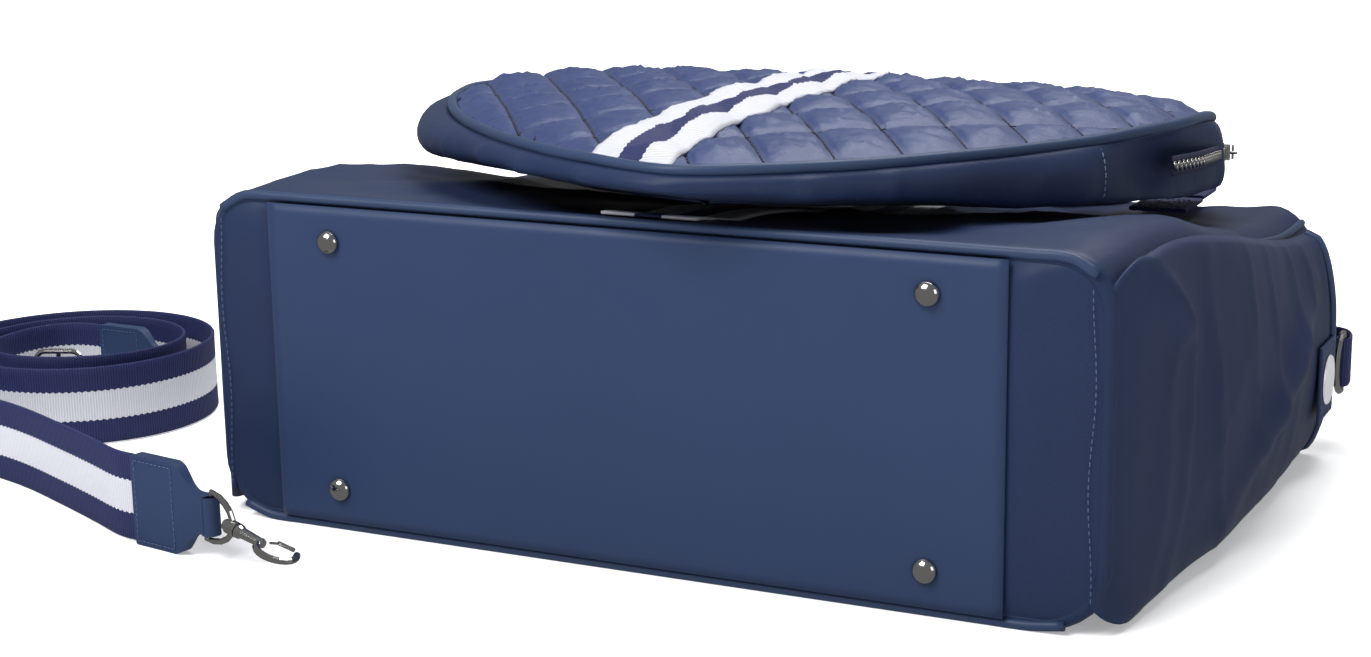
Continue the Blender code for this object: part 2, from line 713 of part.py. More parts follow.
def make_flap_zip(tape, metal):
    """Zip tape along the flap's right side, with its slider and pull."""
    rows = []
    for i in range(13):
        point = flap_zip_point(0.185 + 0.157 * i / 12, 0.0030)
        rows.append([point + Vector((0, 0, h)) for h in (0.005, -0.005)])
    sheet("flap_zip_tape", rows, 0.0010, tape)
    start, end = (flap_zip_point(up, 0.0050) for up in (FLAP_ZIP_REST, FLAP_ZIP_REST - FLAP_ZIP_TRAVEL))
    facing = (end - start).to_track_quat("X", "Z").to_matrix().to_4x4()
    make_slider("flap_zip_slider", "flap_zip_pull", Matrix.Translation(start) @ facing, metal)


def make_front_stripe(webbing):
    ups = [0.006 + 0.334 * i / 12 for i in range(13)]
    edges = (STRIPE_X - STRIPE_HALF, STRIPE_X + STRIPE_HALF)
    rows = [[at(x, up, depth(up) + 0.0016) for x in edges] for up in ups]
    sheet("front_stripe", rows, 0.0010, webbing)


# ---------------------------------------------------------------- shoulder strap

# Where the near end of the webbing lies before the coil: x across, up from the base.
STRAP_LEAD = (
    (-0.242, -0.0585),
    (-0.258, -0.0550),
    (-0.285, -0.0420),
    (-0.320, -0.0260),
    (-0.363, -0.0080),
    (-0.425, 0.0110),
    (-0.484, 0.0380),
    (-0.514, 0.0800),
)
COIL_CENTRE = (-0.433, 0.127)
COIL_RADIUS = 0.080
COIL_PITCH = 0.017  # how far each turn lies inside the one before
COIL_TURNS = 1.75
# The far end of the webbing, measured from the coil's centre.
STRAP_TAIL = ((-0.0485, 0.0160), (-0.0420, 0.0290), (-0.0310, 0.0360), (-0.0220, 0.0372), (-0.0140, 0.0372))
ADJUSTER_AT = 0.865  # share of the strap's length from its near end


def strap_line():
    """The webbing's middle line on the floor: the lead-in, then a clockwise coil inwards."""
    x, up = COIL_CENTRE
    points = [at(lead_x, lead_up, 0.0) for lead_x, lead_up in STRAP_LEAD]
    steps = 32
    for i in range(steps + 1):
        turns = -0.25 + (COIL_TURNS + 0.25) * i / steps
        angle = math.pi / 2 - math.tau * turns
        radius = COIL_RADIUS - COIL_PITCH * turns
        points.append(at(x + radius * math.cos(angle), up + radius * math.sin(angle), 0.0))
    points += [at(x + tail_x, up + tail_up, 0.0) for tail_x, tail_up in STRAP_TAIL]
    return smooth_line(points, 0.013)


def strap_lift(share):
    return 0.0004 + ADJUSTER_LIFT * math.exp(-(((share - ADJUSTER_AT) / 0.06) ** 2))


def make_strap_webbing(webbing):
    line = strap_line()
    rows = []
    for i, p in enumerate(line):
        low = strap_lift(i / (len(line) - 1))
        rows.append([p + Vector((0, 0, low)), p + Vector((0, 0, low + STRAP_WIDTH))])
    sheet("strap_webbing", rows, STRAP_THICKNESS, webbing, inward=False)


def make_adjuster(metal):
    """A rectangular wire adjuster with a middle bar, on the inner face of the webbing."""
    line = strap_line()
    i = round(ADJUSTER_AT * (len(line) - 1))
    along = (line[i + 1] - line[i - 1]).normalized()
    # The webbing turns clockwise into the coil, so its inner face is on its right-hand side.
    inner = Vector((along.y, -along.x, 0))
    centre = line[i] + inner * (STRAP_THICKNESS / 2 + 0.0040) + Vector((0, 0, 0.0262))
    half_z, half_x, turn = 0.0243, 0.0130, 0.005
    corners = []
    for sx, sz, start in ((1, 1, 0), (-1, 1, 90), (-1, -1, 180), (1, -1, 270)):
        for k in range(4):
            angle = math.radians(start + 30 * k)
            x = sx * (half_x - turn) + turn * math.cos(angle)
            z = sz * (half_z - turn) + turn * math.sin(angle)
            corners.append(centre + along * x + Vector((0, 0, z)))
    frame = tube("strap_adjuster", corners, 0.0016, metal, closed=True)
    bar = [centre + Vector((0, 0, -half_z)), centre + Vector((0, 0, half_z))]
    joined(frame, tube_mesh("adjuster_bar", bar, 0.0013), "UNION", Matrix())


def make_strap_end(word, place, turn, coated, metal):
    """Leather tab, D-loop with its swivel barrel, hook and spring gate, along local +X."""
    half, neck = STRAP_WIDTH / 2, 0.0088
    edge = ((0.0004, half), (0.0310, half), (0.0350, 0.0190), (0.0385, 0.0140), (0.0425, neck), (0.0495, neck))
    outline = [(x, -z) for x, z in edge] + list(reversed(edge))
    thick = 0.0046
    mesh = plate_mesh("tab", [Vector((x, -thick / 2, z)) for x, z in outline], Vector((0, thick, 0)))
    tab = add(f"strap_tab_{word}", mesh, coated)
    tab.matrix_world = place
    eye = place @ Matrix.Translation((0.0515, 0, 0))
    outer = bar_profile((0.0051, -neck), (0.0051, neck))
    hole = bar_profile((0.0037, -0.03), (0.0037, 0.03))
    joined(tab, turned_mesh("tab_eye", outer, 14), "UNION", eye)
    joined(tab, turned_mesh("tab_hole", hole, 14), "DIFFERENCE", eye)

    # The hardware hangs down to the floor and may be turned about the tab's eye.
    hang = Matrix.Rotation(turn, 4, "Z") @ Matrix.Rotation(HOOK_DROOP, 4, "Y")
    loop = tube(f"strap_loop_{word}", ring_line(0.0125, 0.0165), 0.0016, metal, closed=True)
    loop.matrix_world = eye @ hang
    swivel = eye @ hang @ Matrix.Translation((0.0165, 0, 0))
    barrel_place = swivel @ Matrix.Rotation(math.pi / 2, 4, "Y")
    barrel = bar_profile((0.0038, -0.0030), (0.0038, 0.0034))
    bore = bar_profile((0.0021, -0.02), (0.0021, 0.02))
    joined(loop, turned_mesh("barrel", barrel, 16), "UNION", barrel_place)
    joined(loop, turned_mesh("bore", bore, 16), "DIFFERENCE", barrel_place)

    shank = bar_profile(
        (0.0028, -0.0052), (0.0028, -0.0034), (0.0016, -0.0034), (0.0016, 0.0038),
        (0.0036, 0.0038), (0.0036, 0.0052), (0.0028, 0.0070), (0.0022, 0.0210),
    )
    hook = turned(f"strap_hook_{word}", shank, barrel_place, metal, 16)
    bow = []
    for i in range(15):
        angle = math.radians(165 + (400 - 165) * i / 14)
        bow.append(Vector((0.0300 + 0.0112 * math.cos(angle), 0.0080 * math.sin(angle), 0)))
    joined(hook, tube_mesh("bow", bow, 0.0018), "UNION", swivel)

    gate_line = [Vector((0.0210, 0.0040, 0)), Vector((0.0240, 0.0068, 0)), Vector((0.0340, 0.0076, 0))]
    gate = tube(f"strap_gate_{word}", gate_line, 0.0011, metal)
    gate.matrix_world = swivel


def hang_on_axes():
    """Parents each moving group to an empty that sits on its joint's axis."""
    axes = (
        ("flap_axis", at(0, FLAP_AXIS_UP, FLAP_AXIS_Z), "flap_"),
        ("front_handle_axis", at(0, FRONT_HANDLE_START + 0.0013, FRONT_HANDLE_Z), "front_handle"),
        ("back_handle_axis", at(0, BACK_HANDLE_START + 0.0013, BACK_HANDLE_Z), "back_handle"),
        ("adjuster_axis", at(*COIL_CENTRE, 0.0), "strap_adjuster"),
    )
    for name, place, prefix in axes:
        empty = bpy.data.objects.new(name, None)
        bpy.context.scene.collection.objects.link(empty)
        empty.location = place
        back = Matrix.Translation(-place)
        for obj in bpy.data.objects:
            exact = obj.name == prefix or (prefix == "flap_" and obj.name.startswith(prefix))
            if obj.type == "MESH" and exact:
                obj.parent = empty
                obj.matrix_parent_inverse = back


def strap_end_place(which):
    """Matrix at a webbing end: local X runs on past the end, local Z is up."""
    line = strap_line()
    end, before, share = (line[0], line[1], 0.0) if which == "near" else (line[-1], line[-2], 1.0)
    along = (end - before).normalized()
    turn = Matrix.Rotation(math.atan2(along.y, along.x), 4, "Z")
    middle = end + Vector((0, 0, strap_lift(share) + STRAP_WIDTH / 2))
    return Matrix.Translation(middle) @ turn


# ---------------------------------------------------------------- the whole bag


def main():
    clear_scene()
    nylon = finish_of("nylon", (0.020, 0.035, 0.110), 0.45)
    quilt = finish_of("quilted_nylon", (0.035, 0.060, 0.170), 0.42)
    coated = finish_of("coated_navy", (0.045, 0.075, 0.180), 0.50)
    webbing = finish_of("webbing", (0.020, 0.030, 0.120), 0.65)
    stripe = finish_of("stripe_webbing", (0.80, 0.80, 0.84), 0.65)
    tape = finish_of("zip_tape", (0.012, 0.016, 0.045), 0.75)
    metal = finish_of("gunmetal", (0.55, 0.54, 0.53), 0.18, 1.0)
    lining = finish_of("lining", (0.35, 0.38, 0.45), 0.70)
    board = finish_of("board", (0.05, 0.05, 0.055), 0.60)

    make_body(nylon, board, lining)
    make_base_trim(coated, metal)
    make_top_closure(nylon, tape, metal)
    for side, word in ((-1, "left"), (1, "right")):
        make_side_pocket(side, word, nylon, coated)
        make_ring(side, word, webbing, metal)
    make_badge(coated, metal)
    make_handles(webbing)
    make_front_stripe(stripe)
    make_flap(quilt, nylon, coated, stripe, tape, metal)
    make_strap_webbing(webbing)
    make_adjuster(metal)
    hang_on_axes()
    make_strap_end("near", strap_end_place("near"), 0.0, coated, metal)
    make_strap_end("far", strap_end_place("far"), math.radians(-80), coated, metal)


main()
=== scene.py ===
"""The looks of the navy diaper bag: quilted flap pocket, coated base, bottle pockets, handles and strap.

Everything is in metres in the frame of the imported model. "up" is the distance from the base along the bag.
"""

import json
import math

import bmesh
import bpy
from mathutils import Matrix, Vector, noise


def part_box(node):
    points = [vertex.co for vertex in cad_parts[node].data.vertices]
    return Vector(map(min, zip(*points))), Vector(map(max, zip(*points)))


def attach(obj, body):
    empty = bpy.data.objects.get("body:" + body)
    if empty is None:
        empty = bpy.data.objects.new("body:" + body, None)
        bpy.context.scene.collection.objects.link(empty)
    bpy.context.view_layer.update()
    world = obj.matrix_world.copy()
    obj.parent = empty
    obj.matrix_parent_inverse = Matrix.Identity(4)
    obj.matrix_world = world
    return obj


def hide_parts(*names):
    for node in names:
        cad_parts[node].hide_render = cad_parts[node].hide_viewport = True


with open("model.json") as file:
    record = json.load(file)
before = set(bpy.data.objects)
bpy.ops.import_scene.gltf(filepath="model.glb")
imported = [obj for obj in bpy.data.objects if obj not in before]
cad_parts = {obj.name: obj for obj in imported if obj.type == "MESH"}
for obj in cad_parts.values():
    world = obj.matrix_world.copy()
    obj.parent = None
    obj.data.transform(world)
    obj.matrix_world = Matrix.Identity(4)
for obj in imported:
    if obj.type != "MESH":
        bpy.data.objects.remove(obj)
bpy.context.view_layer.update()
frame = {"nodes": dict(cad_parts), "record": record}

# ---------------------------------------------------------------- sizes

BASE_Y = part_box("base_fabric")[0].y
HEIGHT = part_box("top_gusset_back")[1].y - BASE_Y
BASE_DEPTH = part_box("base_fabric")[1].z
TOP_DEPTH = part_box("top_gusset_front")[1].z
BASE_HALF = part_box("base_fabric")[1].x
TOP_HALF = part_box("top_gusset_back")[1].x
ZIP_Z = TOP_DEPTH / 2

FLAP_X, FLAP_HALF, FLAP_SKEW = 0.002, 0.205, 0.035
FLAP_REACH, FLAP_WIDEST, FLAP_END = 0.243, 0.220, 0.352
FLAP_NEAR_POWER, FLAP_FAR_POWER = 1.5, 2.2
FLAP_CROWN = 0.011
FLAP_MIDDLE = Vector((FLAP_X, 0.175))  # as x and up
QUILT_START = Vector((0.0975, 0.080))  # a crossing of two seams, as x and up
QUILT_LONG = Vector((0.0262, -0.0374))  # from there to the next crossing along one seam
QUILT_SHORT = Vector((0.0243, 0.0226))  # and along the other
STRIPE_X, STRIPE_HALF, STRIPE_NAVY = 0.013, 0.0245, 0.0072
POCKET_HEIGHT = 0.322
STRAP_WIDTH, STRAP_THICKNESS = 0.045, 0.0022
HANDLE_WIDTH, HANDLE_TURN = 0.032, 0.026
ZIP_HALF, ZIP_OPEN, ZIP_GAP = 0.200, 0.140, 0.036
UP = Vector((0, 0, 1))


def at(x, up, z):
    return Vector((x, BASE_Y + up, z))


def smooth(t):
    t = min(max(t, 0.0), 1.0)
    return t * t * (3 - 2 * t)


def ease(t, low, high):
    return smooth((t - low) / (high - low))


def folds(p, size, seed, stretch=(1, 1, 1)):
    """Smooth noise from -1 to 1 that changes over about size metres, longer along stretched axes."""
    q = Vector((p.x / (size * stretch[0]), p.y / (size * stretch[1]), p.z / (size * stretch[2])))
    return noise.noise(q + Vector((seed * 7.3, seed * 3.1, seed * 5.7)))


def creases(p, size, seed, stretch=(1, 1, 1)):
    """Ridged noise: sharp creases with soft sides, from 0 to 1."""
    wave = abs(folds(p, size, seed, stretch))
    return (1 - wave * 2.2) ** 3 if wave < 0.45 else 0.0


# ---------------------------------------------------------------- node graphs


class Nodes:
    """A short way to write a material's node graph."""

    def __init__(self, name, roughness, metallic=0.0):
        self.paint = bpy.data.materials.new(name)
        self.paint.use_nodes = True
        self.tree = self.paint.node_tree
        self.shader = self.tree.nodes["Principled BSDF"]
        self.put("Roughness", roughness)
        self.put("Metallic", metallic)
        self.place = self.tree.nodes.new("ShaderNodeTexCoord").outputs["Object"]

    def node(self, kind, **settings):
        made = self.tree.nodes.new(kind)
        for key, value in settings.items():
            setattr(made, key, value)
        return made

    def join(self, a, b):
        self.tree.links.new(a, b)

    def feed(self, socket, value):
        """Sets a socket to a number or a colour, or joins another node's output to it."""
        if isinstance(value, (int, float)):
            socket.default_value = value
        elif isinstance(value, tuple):
            socket.default_value = (*value, 1.0)
        else:
            self.join(value, socket)

    def put(self, name, value):
        self.feed(self.shader.inputs[name], value)

    def math(self, operation, a, b=0.0, c=0.0):
        made = self.node("ShaderNodeMath", operation=operation)
        for socket, value in zip(made.inputs, (a, b, c)):
            self.feed(socket, value)
        return made.outputs[0]

    def split(self, vector):
        made = self.node("ShaderNodeSeparateXYZ")
        self.join(vector, made.inputs[0])
        return made.outputs

    def noise(self, scale, detail=2.0, rough=0.5):
        made = self.node("ShaderNodeTexNoise")
        made.inputs["Scale"].default_value = scale
        made.inputs["Detail"].default_value = detail
        made.inputs["Roughness"].default_value = rough
        self.join(self.place, made.inputs["Vector"])
        return made.outputs["Fac"]

    def twill(self, scale):
        made = self.node("ShaderNodeTexWave", wave_type="BANDS", bands_direction="DIAGONAL")
        made.inputs["Scale"].default_value = scale
        self.join(self.place, made.inputs["Vector"])
        return made.outputs["Fac"]

    def mix(self, share, a, b):
        made = self.node("ShaderNodeMix", data_type="RGBA")
        for socket, value in ((0, share), (6, a), (7, b)):
            self.feed(made.inputs[socket], value)
        return made.outputs[2]

    def colour(self, value):
        self.put("Base Color", value)

    def rough(self, value, low, high):
        spread = self.node("ShaderNodeMapRange")
        spread.inputs["To Min"].default_value = low
        spread.inputs["To Max"].default_value = high
        self.join(value, spread.inputs["Value"])
        self.put("Roughness", spread.outputs[0])

    def bump(self, *layers):
        """layers are (height, depth in metres), from the coarsest to the finest."""
        normal = None
        for height, depth in layers:
            made = self.node("ShaderNodeBump")
            made.inputs["Strength"].default_value = 1.0
            made.inputs["Distance"].default_value = depth
            self.join(height, made.inputs["Height"])
            if normal is not None:
                self.join(normal, made.inputs["Normal"])
            normal = made.outputs[0]
        self.put("Normal", normal)

    def sheen(self, weight, tint, specular):
        self.put("Sheen Weight", weight)
        self.put("Sheen Tint", tint)
        self.put("Sheen Roughness", 0.35)
        self.put("Specular IOR Level", specular)


# ---------------------------------------------------------------- camera, floor and light


def make_camera():
    data = bpy.data.cameras.new("camera")
    data.lens, data.sensor_width = 61.15, 36.0
    camera = bpy.data.objects.new("camera", data)
    bpy.context.scene.collection.objects.link(camera)
    yaw, pitch, roll = math.radians(26.183), math.radians(76.917), math.radians(-0.816)
    turn = Matrix.Rotation(yaw, 4, "Z") @ Matrix.Rotation(pitch, 4, "X") @ Matrix.Rotation(roll, 4, "Z")
    camera.matrix_world = Matrix.Translation((0.492, -1.1179, 0.3628)) @ turn
    bpy.context.scene.camera = camera


def make_floor():
    """A white studio sweep that glows more the further it lies from the bag."""
    bpy.ops.mesh.primitive_plane_add(size=40, location=(0, 0, -0.0004))
    floor = bpy.context.object
    floor.name = "floor"
    n = Nodes("floor_white", 0.9)
    n.colour((0.93, 0.93, 0.935))
    n.put("Specular IOR Level", 0.1)
    reach = n.node("ShaderNodeVectorMath", operation="LENGTH")
    n.join(n.place, reach.inputs[0])
    spread = n.node("ShaderNodeMapRange")
    for key, value in (("From Min", 0.35), ("From Max", 1.3), ("To Min", 0.30), ("To Max", 1.0)):
        spread.inputs[key].default_value = value
    n.join(reach.outputs["Value"], spread.inputs["Value"])
    n.put("Emission Color", (1, 1, 1))
    n.put("Emission Strength", spread.outputs[0])
    floor.data.materials.append(n.paint)
    floor.visible_glossy = False


def make_lights():
    world = bpy.data.worlds.new("studio")
    world.use_nodes = True
    back = world.node_tree.nodes["Background"]
    back.inputs["Color"].default_value, back.inputs["Strength"].default_value = (1.0, 1.0, 1.0, 1), 0.22
    bpy.context.scene.world = world
    for name, place, size, energy in (
        ("key", (-0.6, -1.35, 1.6), 1.1, 46),
        ("fill", (1.8, -0.9, 0.7), 0.9, 5),
        ("top", (0.1, 0.7, 1.8), 1.3, 40),
    ):
        data = bpy.data.lights.new(name, "AREA")
        data.energy, data.size = energy, size
        light = bpy.data.objects.new(name, data)
        bpy.context.scene.collection.objects.link(light)
        light.location = place
        light.rotation_euler = (Vector((0, 0, 0.08)) - Vector(place)).to_track_quat("-Z", "Y").to_euler()
    bpy.context.scene.view_settings.view_transform = "Standard"


# ---------------------------------------------------------------- materials


def nylon_paint(name, dark, light, soft=0.0006):
    """Fine diagonal nylon twill with a soft greyish sheen."""
    n = Nodes(name, 0.42)
    twill = n.twill(470)
    base = n.mix(n.noise(9, 3), dark, light)
    # The colour is pushed lighter along the twill's raised diagonal lines, the same wave that drives the
    # bump: a painted highlight on the twill.
    n.colour(n.mix(n.math("MULTIPLY", twill, 0.20), base, tuple(c * 2.2 + 0.006 for c in light)))
    n.rough(n.noise(30, 2), 0.38, 0.50)
    n.bump((n.noise(26, 4, 0.6), soft), (n.noise(90, 3, 0.6), soft * 0.25), (twill, 0.00007))
    n.sheen(0.016, (0.86, 0.76, 0.80), specular=0.20)
    return n.paint


def quilt_paint():
    """Nylon with stitched diamond lines: thread dashes in a sunken line at each cell edge."""
    n = Nodes("quilt_nylon", 0.42)
    twill = n.twill(620)
    base = n.mix(n.noise(11, 3), (0.0155, 0.0290, 0.0950), (0.0215, 0.0390, 0.1220))
    area = QUILT_LONG.cross(QUILT_SHORT)
    crossing = Vector((QUILT_START.x, BASE_Y + QUILT_START.y))
    counts = []
    for other, sign in ((QUILT_SHORT, 1), (QUILT_LONG, -1)):
        slope = Vector((other.y, -other.x)) * sign / area
        made = n.node("ShaderNodeVectorMath", operation="DOT_PRODUCT")
        made.inputs[1].default_value = (slope.x, slope.y, 0)
        n.join(n.place, made.inputs[0])
        counts.append(n.math("SUBTRACT", made.outputs["Value"], slope.dot(crossing)))
    marks = []
    for i, side in enumerate((QUILT_LONG, QUILT_SHORT)):
        across, along = counts[i], counts[1 - i]
        cell = n.math("FRACT", n.math("ADD", across, 0.5))
        off = n.math("ABSOLUTE", n.math("SUBTRACT", cell, 0.5))
        near = n.math("LESS_THAN", off, 0.00085 / side.length)
        other = (QUILT_SHORT, QUILT_LONG)[i].length
        dash = n.math("LESS_THAN", n.math("FRACT", n.math("MULTIPLY", along, other / 0.0034)), 0.72)
        marks.append(n.math("MULTIPLY", near, dash))
    thread = n.math("MAXIMUM", *marks)
    # The cloth is painted lighter along the twill's raised lines, the wave that also drives the bump: a
    # painted highlight on the twill.
    cloth = n.mix(n.math("MULTIPLY", twill, 0.14), base, (0.070, 0.100, 0.23))
    n.colour(n.mix(thread, cloth, (0.003, 0.006, 0.026)))
    n.rough(n.noise(40, 2), 0.38, 0.52)
    n.bump((n.noise(60, 4, 0.6), 0.0011), (n.noise(170, 3, 0.6), 0.00025), (twill, 0.00005))
    n.sheen(0.055, (0.74, 0.72, 0.82), specular=0.35)
    return n.paint


def coated_paint(name="coated_navy", dark=(0.0150, 0.0310, 0.0820), light=(0.0180, 0.0360, 0.0930)):
    """Matte coated cloth: a very fine grain and slow changes of tone."""
    n = Nodes(name, 0.5)
    n.colour(n.mix(n.noise(7, 3), dark, light))
    n.rough(n.noise(60, 3), 0.42, 0.55)
    n.bump((n.noise(14, 3), 0.0005), (n.noise(1400, 2, 0.6), 0.00005))
    n.sheen(0.04, (0.75, 0.80, 0.95), specular=0.25)
    return n.paint


def ribs(n, along, pitch):
    """Woven ribs across a band: 0 in the grooves and 1 on the yarns."""
    turn = n.math("MULTIPLY", along, math.tau / pitch)
    return n.math("MULTIPLY_ADD", n.math("SINE", turn), 0.5, 0.5)


def webbing_paint(name, stripes):
    """Ribbed webbing. The along attribute holds metres along and across. stripes says where it is white."""
    n = Nodes(name, 0.6)
    along, across, _ = n.split(n.node("ShaderNodeAttribute", attribute_name="along").outputs["Vector"])
    rib = ribs(n, along, 0.0015)
    yarn = ribs(n, across, 0.0009)
    # The navy is painted darker in the rib grooves and lighter on the yarn tops: painted shade and highlight
    # of the ribs.
    navy = n.mix(rib, tuple(c * 0.60 for c in WEBBING_NAVY), tuple(c * 1.35 for c in WEBBING_NAVY))
    if stripes:
        low, high = stripes
        wave = n.math("MULTIPLY", n.math("SINE", n.math("MULTIPLY", along, math.tau / 0.0036)), 0.00035)
        place = n.math("ADD", n.math("ABSOLUTE", across), wave)
        white = n.math("MULTIPLY", n.math("GREATER_THAN", place, low), n.math("LESS_THAN", place, high))
        # The white stripes get the same painted shade in the grooves and painted highlight on the ribs.
        navy = n.mix(white, navy, n.mix(rib, (0.43, 0.44, 0.49), (0.55, 0.56, 0.60)))
    n.colour(navy)
    n.bump((n.noise(60, 2), 0.0002), (rib, 0.00018), (yarn, 0.00008))
    n.sheen(0.03, (0.8, 0.8, 0.95), specular=0.25)
    return n.paint


def metal_paint(name, colour, low, high, metallic=1.0):
    n = Nodes(name, low, metallic)
    n.colour(n.mix(n.noise(40, 3), tuple(c * 0.92 for c in colour), colour))
    n.rough(n.noise(180, 3), low, high)
    return n.paint


def thread_paint(name, colour):
    n = Nodes(name, 0.6)
    n.colour(n.mix(n.noise(900, 1), tuple(c * 0.8 for c in colour), colour))
    return n.paint


def weave_paint(name, colour, pitch, roughness=0.75):
    """Plain weave for tape and lining."""
    n = Nodes(name, roughness)
    x, y, z = n.split(n.place)
    warp, weft = ribs(n, n.math("ADD", x, z), pitch), ribs(n, n.math("ADD", y, z), pitch)
    both = n.math("MULTIPLY", warp, weft)
    # The colour is painted darker where the yarns dip and lighter where both cross on top: painted shade and
    # highlight of the weave.
    n.colour(n.mix(both, tuple(c * 0.75 for c in colour), tuple(min(1, c * 1.15) for c in colour)))
    n.bump((both, 0.0001))
    return n.paint


WEBBING_NAVY = (0.0135, 0.0190, 0.0820)
NYLON = nylon_paint("nylon", (0.0085, 0.0165, 0.0480), (0.0110, 0.0215, 0.0600))
QUILT = quilt_paint()
COATED = coated_paint()
PIPING = coated_paint("piping_coated", (0.0180, 0.0340, 0.0800), (0.0230, 0.0420, 0.0960))
WEBBING = webbing_paint("navy_webbing", None)
STRIPED = webbing_paint("striped_webbing", (STRIPE_NAVY, 1.0))
STRAP = webbing_paint("strap_webbing_paint", (-1.0, STRAP_WIDTH * 0.19))
METAL = metal_paint("gunmetal_polished", (0.52, 0.51, 0.50), 0.08, 0.16)
# The badge disc is only a third metallic over a near-white base colour, so it looks bright with nothing to
# reflect: a painted reflection.
SILVER = metal_paint("silver_with_painted_reflection", (0.90, 0.90, 0.92), 0.30, 0.42, 0.35)
THREAD = thread_paint("navy_thread", (0.050, 0.080, 0.200))
PALE_THREAD = thread_paint("pale_thread", (0.20, 0.25, 0.42))
DARK_THREAD = thread_paint("dark_thread", (0.004, 0.008, 0.034))
TAPE = weave_paint("zip_tape_weave", (0.012, 0.016, 0.050), 0.0009)
LINING = weave_paint("lining_weave", (0.24, 0.27, 0.34), 0.0010)
BOARD = coated_paint("board_plastic", (0.05, 0.05, 0.055), (0.06, 0.06, 0.065))

# ---------------------------------------------------------------- meshes


def piece(name, bm, paint, body, replaces=(), angle=None, thick=None, side=-1.0):
    """Makes a piece from a bmesh, riding on a body and standing for CAD nodes.

    thick turns a sheet into cloth that grows against its normals (side -1), both ways (0) or along them (1).
    """
    mesh = bpy.data.meshes.new(name)
    bm.to_mesh(mesh)
    bm.free()
    mesh.materials.append(paint)
    mesh.shade_smooth()
    if angle is not None:
        mesh.set_sharp_from_angle(angle=math.radians(angle))
    obj = bpy.data.objects.new(name, mesh)
    bpy.context.scene.collection.objects.link(obj)
    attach(obj, body)
    if replaces:
        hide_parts(*replaces)
    if thick is not None:
        made = obj.modifiers.new("thickness", "SOLIDIFY")
        made.thickness, made.offset, made.use_even_offset = thick, side, False
    return obj


def grid(rows, closed=False, bm=None, lay=None, caps=()):
    """Faces between rows of points. lay gives each point's (along, across); caps says which rows to fill."""
    bm = bm or bmesh.new()
    layer = None
    if lay is not None:
        layer = bm.verts.layers.float_vector.new("along")
    made = [[bm.verts.new(p) for p in row] for row in rows]
    for line, places in zip(made, lay or ()):
        for v, place in zip(line, places):
            v[layer] = (*place, 0.0)
    for low, high in zip(made, made[1:]):
        count = len(low)
        for j in range(count if closed else count - 1):
            k = (j + 1) % count
            bm.faces.new((low[j], low[k], high[k], high[j]))
    for end in caps:
        bm.faces.new(made[end] if end else made[end][::-1])
    return bm


def steps(low, high, count):
    """Even steps from low to high, count of them."""
    return [low + (high - low) * i / count for i in range(count + 1)]


def sheet(rows, columns, point):
    """An open sheet over point(row, column)."""
    return fix_normals(grid([[point(r, c) for c in columns] for r in rows]))


def circle(centre, a, b, count, radius=1.0):
    """Points round a centre in the plane of the directions a and b."""
    turns = [math.tau * k / count for k in range(count)]
    return [centre + (a * math.cos(t) + b * math.sin(t)) * radius for t in turns]


def heading(line, i):
    """The direction of a line at its point i."""
    return (line[min(i + 1, len(line) - 1)] - line[max(i - 1, 0)]).normalized()


def tube(line, radius, sides=12):
    """A round cord along a line, its cross directions turning as little as possible."""
    side = heading(line, 0).orthogonal().normalized()
    rows = []
    for i, p in enumerate(line):
        along = heading(line, i)
        side = (side - along * side.dot(along)).normalized()
        rows.append(circle(p, side, along.cross(side).normalized(), sides, radius))
    return fix_normals(grid(rows, closed=True, caps=(0, -1)))


def evenly(line, step):
    lengths = [0.0]
    for a, b in zip(line, line[1:]):
        lengths.append(lengths[-1] + (b - a).length)
    count = max(2, round(lengths[-1] / step))
    out, i = [], 0
    for n in range(count + 1):
        want = lengths[-1] * n / count
        while i < len(line) - 2 and lengths[i + 1] < want:
            i += 1
        share = (want - lengths[i]) / max(lengths[i + 1] - lengths[i], 1e-9)
        out.append(line[i].lerp(line[i + 1], share))
    return out


def spline(points, step):
    """A smooth curve through the points, read off at even steps."""
    ends = [2 * points[0] - points[1], *points, 2 * points[-1] - points[-2]]
    fine = []
    for a, b, c, d in zip(ends, ends[1:], ends[2:], ends[3:]):
        for i in range(24):
            t = i / 24
            bend = (2 * a - 5 * b + 4 * c - d) * t * t + (3 * b - a - 3 * c + d) * t**3
            fine.append(0.5 * (2 * b + (c - a) * t + bend))
    fine.append(points[-1].copy())
    return evenly(fine, step)


def box_mesh(bm, centre, axes, sizes):
    """A block with its middle at centre, along three directions."""
    a, b, c = (axis * size / 2 for axis, size in zip(axes, sizes))
    corners = (-b - c, b - c, b + c, -b + c)
    ends = [[centre + end + q for q in corners] for end in (-a, a)]
    grid(ends, closed=True, bm=bm, caps=(0, -1))


def add_stitches(bm, line, pitch=0.0036, length=0.0025, radius=0.00032):
    """Thread dashes along a line, each a small six-sided bead."""
    points = evenly(line, pitch)
    for a, b in zip(points, points[1:]):
        along = (b - a).normalized()
        side = along.orthogonal().normalized()
        rings = []
        for share, size in ((-0.5, 0.45), (-0.3, 1.0), (0.3, 1.0), (0.5, 0.45)):
            middle = (a + b) / 2 + along * length * share
            rings.append(circle(middle, side, along.cross(side), 6, radius * size))
        grid(rings, closed=True, bm=bm, caps=(0, -1))


def fix_normals(bm):
    bmesh.ops.recalc_face_normals(bm, faces=bm.faces)
    return bm


# ---------------------------------------------------------------- body


def half_width(up):
    return BASE_HALF + (TOP_HALF - BASE_HALF) * smooth(up / 0.2)


def depth(up):
    return BASE_DEPTH - (BASE_DEPTH - TOP_DEPTH) * smooth((up - 0.04) / 0.30)


def sunken(x, up):
    """How far the front panel sags between its two side ridges."""
    across = max(0.0, 1 - (abs(x + 0.01) / 0.205) ** 2.2)
    return 0.0085 * across * smooth(up / 0.055)


